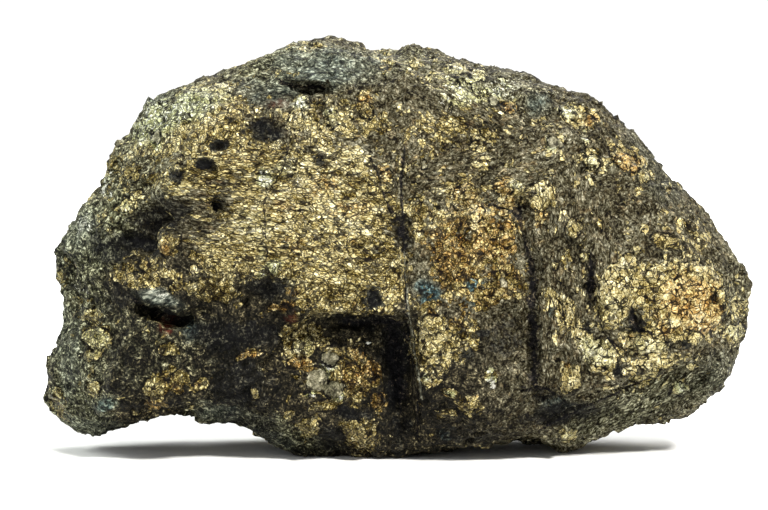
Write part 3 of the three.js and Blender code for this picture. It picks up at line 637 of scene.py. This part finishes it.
def patched(patches, x, y):
    """The most that any patch gives at each pixel."""
    most = np.zeros_like(x)
    for patch in patches:
        most = np.maximum(most, patch_share(patch, x, y))
    return most


def clump_depth(clumps, x, y):
    """How many pixels deep each pixel is in some lumps, less than 0 outside them."""
    depth = np.full_like(x, -LUMP_REACH)
    for oval in clumps:
        _, _, wide, high, _ = oval
        depth = np.maximum(depth, (1 - half_sizes_out(oval, x, y)) * min(wide, high))
    return depth


def line_side(points, x, y):
    """How far each pixel is from a line through some pixels, below 0 on one side of it."""
    nearest = np.full_like(x, np.inf)
    for (x1, y1), (x2, y2) in zip(points, points[1:]):
        run = np.array((x2 - x1, y2 - y1), float)
        share = ((x - x1) * run[0] + (y - y1) * run[1]) / (run @ run)
        along = np.clip(share, 0, 1)
        gap = np.hypot(x - x1 - along * run[0], y - y1 - along * run[1])
        side = np.sign((x - x1) * run[1] - (y - y1) * run[0])
        nearest = np.where(gap < np.abs(nearest), gap * np.where(side == 0, 1, side), nearest)
    return nearest


def crack_sides(cracks, x, y):
    """How many half widths each pixel is from the nearest crack, below 0 on one side of it."""
    nearest = np.full_like(x, CRACK_REACH)
    for points, half_width in cracks:
        side = line_side(points, x, y) / half_width
        nearest = np.where(np.abs(side) < np.abs(nearest), side, nearest)
    return nearest


class Ground:
    """What the stone is made of at each of some places: brass, tarnish and so on, from 0 to 1."""

    def __init__(self, places, normals):
        self.places = places
        self.face = smooth_step(normals @ np.array(eye_way()), *FACE_TURN)
        names = ("broad", "middling", "pale", "teal", "clump", "night")
        self.noises = {name: named_noise(places, name) for name in names}
        self.follow_lines()
        self.fill_patches()
        self.raise_clumps()
        self.shade_sides()

    def swayed(self, name):
        """The pixels that the places are seen at, moved to and fro so that outlines are uneven."""
        sways = [
            sum(pixels * noise_at(self.places, size * MM, start) for pixels, size, start in way)
            for way in SWAYS[name]
        ]
        x, y = seen_at(self.places)
        return x + sways[0], y + sways[1]

    def blend(self, name, seen):
        """A kind of ground as the eye sees it, and by the noise where it doesn't."""
        return self.face * seen + (1 - self.face) * self.unseen(name)

    def unseen(self, name):
        """A kind of ground by the noise alone."""
        if name in UNSEEN_PATCHES:
            shares, low, high, most = UNSEEN_PATCHES[name]
            height = sum(share * self.noises[noise_name] for noise_name, share in shares.items())
            return smooth_step(height, low, high) * most
        noise_name, share, middle = UNSEEN_SWELLS[name]
        return share * self.noises[noise_name] + middle

    def follow_lines(self):
        """How near the cracks and the worn edge are."""
        x, y = self.swayed("cracks")
        in_view = self.face > IN_VIEW
        self.crack_side = crack_sides(CRACKS, x, y)
        self.crack_gap = np.where(in_view, np.abs(self.crack_side), CRACK_REACH)
        self.ridge_side = crack_sides(RIDGES, x, y)
        self.ridge = np.where(in_view & (np.abs(self.ridge_side) < RIDGE_REACH), 1, 0)

    def fill_patches(self):
        self.x, self.y = self.swayed("patches")
        self.brass = self.blend("brass", self.patch(BRASS))
        self.tarnish = self.blend("tarnish", self.patch(TARNISH))
        self.pale = self.blend("pale", self.patch(PALE))
        self.black = self.blend("black", self.patch(BLACK))
        self.teal = self.blend("teal", self.patch(TEAL))
        self.crust = self.blend("crust", self.patch(CRUST))
        self.dull = self.face * self.patch(DULL_AND_SHADED)
        self.rust = self.face * self.patch(RUST)
        self.blue = self.face * self.patch(BLUE)

    def patch(self, patches):
        return patched(patches, self.x, self.y)

    def raise_clumps(self):
        """How deep in the lumps each place is, and what colour the lumps give it."""
        x, y = self.swayed("clumps")
        depths = {kind: clump_depth(clumps, x, y) for kind, clumps in CLUMPS.items()}
        self.night = self.blend("night", depths.pop("black"))
        self.clump = self.blend("clump", np.max(list(depths.values()), axis=0))
        orange = ORANGE_LUMP * smooth_step(depths["orange"], *LUMP_EDGE)
        self.tarnish = np.maximum(self.tarnish, self.face * orange)
        pale = PALE_LUMP * smooth_step(depths["pale"], *LUMP_EDGE)
        self.pale = np.maximum(self.pale, self.face * pale)
        self.quartz = self.face * smooth_step(depths["quartz"], *QUARTZ_EDGE)

    def shade_sides(self):
        # slate: the darker lower left, partly dark ore and partly painted shade
        below = smooth_step(self.y - DARKER_SLOPE * self.x, *DARKER_BELOW)
        left = smooth_step(DARKER_RIGHT - self.x, 0, DARKER_FADE)
        self.slate = self.blend("slate", below * left)
        self.coarse = self.blend("coarse", smooth_step(self.x, *COARSE_FROM))


def facets(places, size_mm, start):
    """Flat faces at random leans, each about a size across: how high each place is on its face."""
    heights = []
    for place in (places / (size_mm * MM) + start).tolist():
        middle = noise.voronoi(place)[1][0]
        lean = noise.cell_vector(middle * LEAN_DICE) - Vector((0.5, 0.5, 0.5))
        heights.append((Vector(place) - middle).dot(lean))
    return np.array(heights)


def layers_of(ground):
    """Which of the layered patches each place lies in, or -1."""
    which = np.full(len(ground.x), -1)
    for index, (patch, _, _) in enumerate(LAYERS):
        which[ground.face * patch_share(patch, ground.x, ground.y) > LAYER_START] = index
    return which


def bedded(places, which):
    """Each place as its grain lies: drawn together across the layers, so that grains lie flat."""
    beds = places.copy()
    for index, (_, slope, stretch) in enumerate(LAYERS):
        chosen = which == index
        angle = math.radians(-slope)
        along = places[:, 0] * math.cos(angle) + places[:, 2] * math.sin(angle)
        across = places[:, 2] * math.cos(angle) - places[:, 0] * math.sin(angle)
        turned = np.stack((along / stretch**0.5, places[:, 1], across * stretch**0.5), 1)
        beds[chosen] = turned[chosen] + index * LAYER_GAP
    return beds


def stone_skin():
    """A fine, even skin over the solid."""
    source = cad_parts[STONE]
    skin = bpy.data.objects.new("stone", source.data.copy())
    bpy.context.collection.objects.link(skin)
    take(skin)
    bpy.ops.object.mode_set(mode="EDIT")
    bpy.ops.mesh.select_all(action="SELECT")
    bpy.ops.mesh.remove_doubles(threshold=SAME_SPOT)
    bpy.ops.object.mode_set(mode="OBJECT")
    apply_modifier(skin, "Skin", "REMESH", mode="VOXEL", voxel_size=SKIN_EDGE)
    apply_modifier(skin, "Ease", "SMOOTH", factor=SKIN_EASE, iterations=SKIN_SMOOTHING)
    return skin


def ground_of(mesh):
    return Ground(read(mesh.vertices, "co", width=3), read(mesh.vertices, "normal", width=3))


def ore_lift(places, ground):
    """How far broken ore stands out at each place, in mm: swells, faces, grains and small pits."""
    beds = bedded(places, layers_of(ground))
    rough = (1 - TEAL_SMOOTHER * ground.teal) * (1 + CRUST_ROUGHER * ground.crust)
    pits = smooth_step(named_noise(places, "pits"), *PITS_SHAPE)
    lift = LIFTS["swell"] * named_noise(places, "swell") + LIFTS["all"]
    lift += LIFTS["breaks"] * facets(places, *BREAKS) * rough
    lift += LIFTS["grains"] * facets(beds, *GRAINS) * rough
    lift += LIFTS["tooth"] * named_noise(beds, "tooth") * rough
    lift += LIFTS["pits"] * pits * (1 - BRASS_SPARED * ground.brass)
    return lift


def mark_lift(ground):
    """How far cracks, hollows and lumps move the skin out or in, in mm."""
    lift = LIFTS["crack"] * (1 - smooth_step(ground.crack_gap, *CRACK_SHAPE))
    lift += LIFTS["black"] * ground.black
    lift += LIFTS["brass"] * ground.brass
    lift += LIFTS["night"] * smooth_step(ground.night, *NIGHT_SHAPE)
    lift += LIFTS["clump"] * smooth_step(ground.clump, *CLUMP_SHAPE)
    lift += LIFTS["clump_rim"] * (1 - smooth_step(np.abs(ground.clump), *CLUMP_RIM_SHAPE))
    return lift


def roughen(skin):
    """Moves the skin's corners in and out, but never below the ground that the stone stands on."""
    ground = ground_of(skin.data)
    lift = ore_lift(ground.places, ground) + mark_lift(ground)
    normals = read(skin.data.vertices, "normal", width=3)
    moved = ground.places + normals * (lift * MM)[:, None]
    moved[:, 2] = np.maximum(moved[:, 2], 0)
    skin.data.vertices.foreach_set("co", moved.ravel())
    skin.data.update()


def mark_ground(skin):
    """Keeps what the ground is made of on the skin, for its material to read."""
    mesh = skin.data
    ground = ground_of(mesh)
    for name in MARKS:
        values = getattr(ground, name).astype(np.float32)
        mesh.attributes.new(name, "FLOAT", "POINT").data.foreach_set("value", values)
    # Each face keeps to one layer, so that the grain isn't drawn out where two layers meet
    corners = read(mesh.loops, "vertex_index", np.int32)
    firsts = corners[read(mesh.polygons, "loop_start", np.int32)]
    which = np.repeat(layers_of(ground)[firsts], read(mesh.polygons, "loop_total", np.int32))
    beds = bedded(ground.places[corners], which).astype(np.float32)
    mesh.attributes.new("bed", "FLOAT_VECTOR", "CORNER").data.foreach_set("vector", beds.ravel())


def linear(code):
    """A colour as the eye names it, such as c8b46e, as the linear one that light works in."""
    parts = [int(code[i : i + 2], 16) / 255 for i in (0, 2, 4)]
    return [p / 12.92 if p <= 0.04045 else ((p + 0.055) / 1.055) ** 2.4 for p in parts] + [1]


class Flow:
    """A number or colour on its way through some nodes. A number can be reckoned with."""

    def __init__(self, nodes, socket):
        self.nodes = nodes
        self.socket = socket

    def reckon(self, operation, *values, **settings):
        return self.nodes.add("ShaderNodeMath", {"operation": operation, **settings}, values)[0]

    def __add__(self, other):
        return self.reckon("ADD", self, other)

    def __mul__(self, other):
        return self.reckon("MULTIPLY", self, other)

    def __sub__(self, other):
        return self.reckon("SUBTRACT", self, other)

    def __rsub__(self, other):
        return self.reckon("SUBTRACT", other, self)

    def __truediv__(self, other):
        return self.reckon("DIVIDE", self, other)

    def __rtruediv__(self, other):
        return self.reckon("DIVIDE", other, self)

    __radd__ = __add__
    __rmul__ = __mul__

    def centred(self):
        """Noise or dice from 0 to 1, as a number from minus a half to a half."""
        return self - 0.5

    def size(self):
        return self.reckon("ABSOLUTE", self)

    def larger(self, other):
        return self.reckon("MAXIMUM", self, other)

    def clamped(self):
        return self.reckon("ADD", self, 0.0, use_clamp=True)

    def above(self, low, high):
        """0 under low, 1 over high."""
        return ((self - low) / (high - low)).clamped()


def set_stops(ramp, stops):
    while len(ramp.elements) < len(stops):
        ramp.elements.new(0.5)
    for element, (position, code) in zip(ramp.elements, stops):
        element.position = position
        element.color = linear(code)


class Nodes:
    """A tree of nodes, and the way to add to it."""

    def __init__(self, tree):
        self.tree = tree

    def add(self, kind, settings, inputs):
        """Adds a node, and returns its outputs as flows, by name and by number."""
        made = self.tree.nodes.new(kind)
        for key, value in settings.items():
            if key == "stops":
                set_stops(made.color_ramp, value)
            else:
                setattr(made, key, value)
        pairs = inputs.items() if isinstance(inputs, dict) else enumerate(inputs)
        for key, value in pairs:
            self.feed(made.inputs[key], value)
        flows = {out.name: Flow(self, out) for out in reversed(made.outputs) if out.enabled}
        flows.update(enumerate(Flow(self, out) for out in made.outputs if out.enabled))
        return flows

    def feed(self, socket, value):
        if isinstance(value, Flow):
            self.tree.links.new(value.socket, socket)
        else:
            socket.default_value = value

    def attribute(self, name, output="Fac"):
        return self.add("ShaderNodeAttribute", {"attribute_name": name}, {})[output]

    def vector(self, operation, *values, output="Vector"):
        return self.add("ShaderNodeVectorMath", {"operation": operation}, values)[output]

    def mix(self, factor, low, high, blend="MIX"):
        """A colour from low to high."""
        settings = {"data_type": "RGBA", "clamp_factor": True, "blend_type": blend}
        inputs = dict(zip(MIX_SOCKETS, (factor, low, high)))
        return self.add("ShaderNodeMix", settings, inputs)["Result"]

    def tones(self, factor, name):
        """A colour picked from a row of colours by a number from 0 to 1."""
        return self.add("ShaderNodeValToRGB", {"stops": TONES[name]}, (factor,))["Color"]


class Finish(Nodes):
    """A material's nodes."""

    def __init__(self, name):
        self.material = bpy.data.materials.new(name)
        self.material.use_nodes = True
        super().__init__(self.material.node_tree)

    def set(self, **inputs):
        shader = self.tree.nodes["Principled BSDF"]
        for name, value in inputs.items():
            self.feed(shader.inputs[name.replace("_", " ")], value)


class Crystals:
    """Crystals of a size that fill the ore: three dice for each, its middle and its lean."""

    def __init__(self, ore, size):
        self.ore = ore
        self.inputs = {"Vector": ore.place, "Scale": 1 / size}
        cells = ore.add("ShaderNodeTexVoronoi", {"feature": "F1"}, self.inputs)
        self.dice = ore.add("ShaderNodeSeparateColor", {}, {"Color": cells["Color"]})
        self.middle = cells["Position"]
        from_middle = ore.vector("SUBTRACT", ore.place, self.middle)
        way = ore.vector("SUBTRACT", cells["Color"], (0.5, 0.5, 0.5))
        self.lean = ore.vector("DOT_PRODUCT", from_middle, way, output="Value")

    def seams(self, width, edge):
        """1 on the seams between the crystals, which are as wide as width times their size."""
        settings = {"feature": "DISTANCE_TO_EDGE"}
        gap = self.ore.add("ShaderNodeTexVoronoi", settings, self.inputs)["Distance"]
        return 1 - ((gap - width) / edge).clamped()


class Ore(Finish):
    """Brassy crystals with dark seams between them, in a dark ore of fine salt and pepper."""

    def __init__(self):
        super().__init__("ore")
        self.place = self.attribute("bed", "Vector")
        for size, amount in STRAYS:
            self.place = self.strayed(size * MM, amount * MM)
        crystals = [Crystals(self, size * MM) for size in CRYSTALS]
        self.lump, self.big, self.small, self.salt = crystals
        self.marks = {name: self.attribute(name) for name in MARKS}
        self.cloudy = self.clouds("cloudy", self.place)
        self.cloud = self.cloudy.centred()
        self.patchy = self.clouds("patchy", self.big.middle).centred()
        self.grit = self.clouds("grit", self.place).centred()
        self.fine = self.clouds("fine", self.place).centred()
        self.broad = self.clouds("broad", self.place).centred()
        self.clump = self.marks["clump"] + self.grit * 4 + self.fine * 2.5
        self.inside = self.clump.above(*EDGES["inside"])
        self.wide = self.cloud * 0.4 + self.marks["coarse"] * 0.01 + 0.02
        self.seam = self.brass_seams()
        self.shown = self.brass_share()
        self.shade = self.brass_shade()
        self.pepper = self.ore_shade()

    def strayed(self, size, amount):
        """The place wanders, so that what is drawn by it is uneven."""
        inputs = {"Vector": self.place, "Scale": 1 / size, "Detail": 1.0}
        wander = self.add("ShaderNodeTexNoise", {}, inputs)["Color"]
        return self.vector("MULTIPLY_ADD", wander, (amount,) * 3, self.place)

    def clouds(self, name, place):
        """Noise from 0 to 1, with lumps of the named size."""
        size, detail, roughness = CLOUDS[name]
        inputs = {"Vector": place, "Scale": 1 / (size * MM), "Detail": detail, "Roughness": roughness}
        return self.add("ShaderNodeTexNoise", {}, inputs)["Fac"]

    def brass_seams(self):
        """Dark seams round the lumps and the big crystals, and a fine lace round the small ones."""
        lumps = self.lump.seams(self.wide * 0.3, SEAM_EDGES["lump"]) * COVERS["lump_seams"]
        big = self.big.seams(self.wide, SEAM_EDGES["big"])
        lace_width = self.grit * 0.6 + 0.05 - self.marks["coarse"] * 0.07
        lace = self.small.seams(lace_width, SEAM_EDGES["lace"]) * COVERS["lace"]
        return lumps.larger(big).larger(lace)

    def brass_share(self):
        """1 where brass shows, and 0 where the dark ore does."""
        share = self.marks["brass"] * 1.1 + self.inside * 0.36 - self.marks["teal"] * 0.35
        share = share + self.patchy * 1.7
        share = share + self.big.dice[0].centred() * 0.3 + self.small.dice[0].centred() * 0.3
        return (share - self.marks["black"] * 0.4).above(*EDGES["brass"])

    def brass_shade(self):
        """How light the brass is, from 0 to 1."""
        marks = self.marks
        glint = self.clouds("glint", self.place).centred()
        shade = self.big.dice[1] * 0.16 + self.small.dice[1] * 0.16 + glint
        shade = shade + self.grit * (1.0 - marks["coarse"] * 0.6)
        shade = shade + marks["pale"] * 0.1 + 0.36
        shade = shade + self.broad * 0.5 + self.patchy * 0.35
        # The slate and dull marks darken the brass: partly painted shade, in the lower left and in
        # hollows
        return shade - marks["slate"] * 0.06 - marks["dull"] * 0.14 + self.inside * 0.03

    def ore_shade(self):
        """How light the dark ore is, from 0 to 1."""
        black, crust = self.marks["black"], self.marks["crust"]
        pepper = self.fine * 1.3 + self.grit * 0.9
        pepper = pepper + self.salt.dice[0] * 0.24 + self.small.dice[2] * 0.14
        pepper = (pepper + self.cloud * 0.8) * (1 + crust * 0.4)
        return pepper + self.broad * 0.5 + 0.26 - black * 0.12 - crust * 0.04

    def brass(self):
        """Yellow to orange where it is tarnished, and straw where it is pale."""
        names = ("yellow", "orange", "straw")
        yellow, orange, straw = (self.tones(self.shade, name) for name in names)
        tarnish = self.marks["tarnish"] + (self.cloudy - 0.55) * 2
        colour = self.mix(tarnish + (self.small.dice[2] - 0.7) * 0.5, yellow, orange)
        colour = self.mix((self.marks["pale"] - 0.3) * 3, colour, straw)
        return self.mix(self.seam * COVERS["seams"], colour, linear(BRASS_SEAM))

    def dark_ore(self):
        """Olive, brown or nearly black ore, with crusts, slate and a blue-green sheen."""
        marks = self.marks
        names = ("olive", "brown", "dark", "worn", "sheen")
        olive, brown, dark, worn, sheen = (self.tones(self.pepper, name) for name in names)
        slaty_shade = self.pepper * 0.8 + self.cloudy * 0.3 - 0.1 + marks["pale"] * 0.25
        colour = self.mix(self.cloud * 5 * self.big.dice[2], olive, brown)
        # The dark tone of the lower left is partly painted shade
        colour = self.mix(marks["slate"], colour, dark)
        # Crusts take a lighter, greenish tone: on the left rim partly painted light
        colour = self.mix(marks["crust"] * 1.4 - 0.5 + self.cloud * 2, colour, worn)
        slate = marks["teal"] * (self.cloudy * 2.2 - 0.3)
        colour = self.mix(slate, colour, self.tones(slaty_shade, "slaty"))
        seam = self.lump.seams(self.wide * 0.3, SEAM_EDGES["ore"]) * COVERS["ore_seams"]
        colour = self.mix(seam, colour, linear(ORE_SEAM))
        blue = (marks["blue"] + self.grit * 1.5) * 1.2 - 0.5
        return self.mix(blue, colour, sheen)

    def quartz(self):
        """White specks and glassy lumps: how much of each shows, and its colour."""
        specks = self.marks["pale"] + self.grit * 1.3 + self.fine * 1.2
        lumps = self.marks["quartz"] + self.grit * 1.5
        return [
            (specks.above(*EDGES["specks"]), self.tones(self.shade, "white")),
            (lumps.above(*EDGES["quartz"]), self.tones(self.shade, "glassy")),
        ]

    def rims(self):
        """Painted shade of small pits in the brass, and dark lines round the lumps: how much shows, and
        its colour.
        """
        pits = self.clouds("pits", self.small.middle)
        pits = pits + self.cloud * 0.4 + self.grit * 0.3
        off_rim = (self.clump + 0.2).size()
        rims = (1 - off_rim.above(*EDGES["rims"])) * (self.cloudy * 5 - 1.7)
        return [
            (pits.above(*EDGES["pits"]) * self.shown * COVERS["pits"], linear(PIT_SHADE)),
            (rims * COVERS["rims"], linear(LUMP_RIM)),
        ]

    def hollows(self):
        """Black ore and black blotches, partly painted shade where they lie in hollows: how much of each
        shows, and its colour.
        """
        black = self.marks["black"] + self.cloud * 1.3 + self.grit * 1.2
        night = self.marks["night"] + self.grit * 7 + self.fine * 3
        black_and_shadow = self.tones(self.pepper, "black_and_shadow")
        return [
            (black.above(*EDGES["black"]) * COVERS["black"], black_and_shadow),
            (night.above(*EDGES["night"]) * COVERS["night"], black_and_shadow),
        ]

    def lines(self):
        """Cracks with painted shadow along deep corners, and worn edges: how much of each shows, and its
        colour.
        """
        marks = self.marks
        off_crack = (marks["crack_side"] + self.grit * 1.6).size() - self.cloud * 4
        crack = 1 - off_crack.above(*EDGES["crack"])
        crack = crack * (1 - marks["crack_gap"].above(*EDGES["crack_gap"]))
        off_ridge = (marks["ridge_side"] + self.grit * 2).size()
        ridge = (1 - off_ridge.above(*EDGES["ridge"])) * (self.cloudy * 4 - 1.3)
        return [
            (crack * COVERS["crack"], self.tones(self.pepper, "crack")),
            (ridge * marks["ridge"] * COVERS["ridge"], self.tones(self.pepper, "ridge")),
        ]

    def colour(self):
        """Brass and dark ore, with all that lies over them, one over the other."""
        colour = self.mix(self.shown, self.dark_ore(), self.brass())
        rust = (self.marks["rust"] * (self.small.dice[0] + 0.1), linear(RED_RUST))
        over_it = (*self.quartz(), *self.rims(), *self.hollows(), *self.lines(), rust)
        for shown, over in over_it:
            colour = self.mix(shown, colour, over)
        # The greenish tint over crusts is partly painted cool light
        return self.mix(self.marks["crust"], colour, CRUST_AND_COOL_LIGHT_TINT, "MULTIPLY")

    def relief(self):
        """The finest shape of the ore: leaning crystal faces, grit and seams, in metres."""
        big, small, salt = LEANS
        height = self.big.lean * big + self.small.lean * small + self.salt.lean * salt
        height = height + self.fine * FINE_HEIGHT + self.grit * GRIT_HEIGHT - self.seam * SEAM_DEPTH
        inputs = {"Height": height, "Distance": 1.0, "Strength": 1.0}
        return self.add("ShaderNodeBump", {}, inputs)["Normal"]


def ore_finish():
    ore = Ore()
    ore.set(
        Base_Color=ore.colour(),
        Metallic=ore.shown * BRASS_METAL,
        Roughness=ORE_ROUGHNESS - ore.shown * BRASS_SMOOTHER,
        Specular_IOR_Level=ORE_SHINE,
        Normal=ore.relief(),
    )
    return ore.material


def own_map(piece):
    """Lays the skin out flat from six sides, each face on the side that it looks to most."""
    mesh = piece.data
    low, high = (np.array(corner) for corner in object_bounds())
    ways = read(mesh.polygons, "normal", width=3)
    axis = np.abs(ways).argmax(1)
    outwards = ways[np.arange(len(ways)), axis] > 0
    side = np.repeat(axis * 2 + outwards, read(mesh.polygons, "loop_total", np.int32))
    places = read(mesh.vertices, "co", width=3)[read(mesh.loops, "vertex_index", np.int32)]
    spots = (places - low) / (high - low)
    flat = np.zeros((len(spots), 2))
    for index, (across, up, left, bottom, wide, tall) in enumerate(SHEETS):
        chosen = side == index
        flat[chosen, 0] = left + wide * spots[chosen, across]
        flat[chosen, 1] = bottom + tall * spots[chosen, up]
    mesh.uv_layers.new(name="OFBake").data.foreach_set("uv", flat.ravel())


def build_stone():
    skin = stone_skin()
    roughen(skin)
    mark_ground(skin)
    skin.data.materials.clear()
    skin.data.materials.append(ore_finish())
    own_map(skin)
    take(skin)
    bpy.ops.object.shade_smooth()
    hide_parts(STONE)
    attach(skin, "root")


def stand_camera():
    data = bpy.data.cameras.new("eye")
    data.lens = LENS_MM
    data.sensor_width = SENSOR_MM
    camera = bpy.data.objects.new("eye", data)
    bpy.context.collection.objects.link(camera)
    camera.location = LOOKED_AT + eye_way() * EYE_AWAY
    camera.rotation_euler = eye_way().to_track_quat("Z", "Y").to_euler()
    bpy.context.scene.camera = camera


def lay_floor():
    deselect()
    bpy.ops.mesh.primitive_circle_add(vertices=FLOOR_CORNERS, radius=FLOOR_RADIUS, fill_type="NGON")
    floor = bpy.context.active_object
    floor.name = "floor"
    paint = Finish("floor_paint")
    paint.set(
        Base_Color=linear(FLOOR_COLOUR),
        Roughness=FLOOR_ROUGHNESS,
        Specular_IOR_Level=FLOOR_SHINE,
    )
    floor.data.materials.append(paint.material)
    floor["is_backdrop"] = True


def add_lamp(name, energy, spread, azimuth, elevation, colour):
    """A soft light from a way round the stone."""
    data = bpy.data.lights.new(name, "SUN")
    data.energy = energy
    data.angle = math.radians(spread)
    data.color = colour
    lamp = bpy.data.objects.new(name, data)
    bpy.context.collection.objects.link(lamp)
    a, e = math.radians(azimuth), math.radians(elevation)
    way = Vector((math.sin(a) * math.cos(e), -math.cos(a) * math.cos(e), math.sin(e)))
    lamp.rotation_euler = way.to_track_quat("Z", "Y").to_euler()


def paint_room():
    """Soft light from all round, with a brighter wall where the eye looks past the stone."""
    world = bpy.data.worlds.new("studio")
    world.use_nodes = True
    bpy.context.scene.world = world
    room = Nodes(world.node_tree)
    dim = room.tree.nodes["Background"]
    dim.inputs["Color"].default_value = WHITE
    dim.inputs["Strength"].default_value = ROOM_LIGHT
    inputs = {"Color": WHITE, "Strength": WALL_LIGHT}
    wall = room.add("ShaderNodeBackground", {}, inputs)["Background"]
    seen = room.add("ShaderNodeLightPath", {}, {})["Is Camera Ray"]
    both = room.add("ShaderNodeMixShader", {}, (seen, Flow(room, dim.outputs[0]), wall))["Shader"]
    room.feed(room.tree.nodes["World Output"].inputs["Surface"], both)


def light_studio():
    bpy.context.scene.view_settings.view_transform = "Standard"
    paint_room()
    for name, settings in LAMPS.items():
        add_lamp(name, *settings)


stand_camera()
lay_floor()
light_studio()
build_stone()
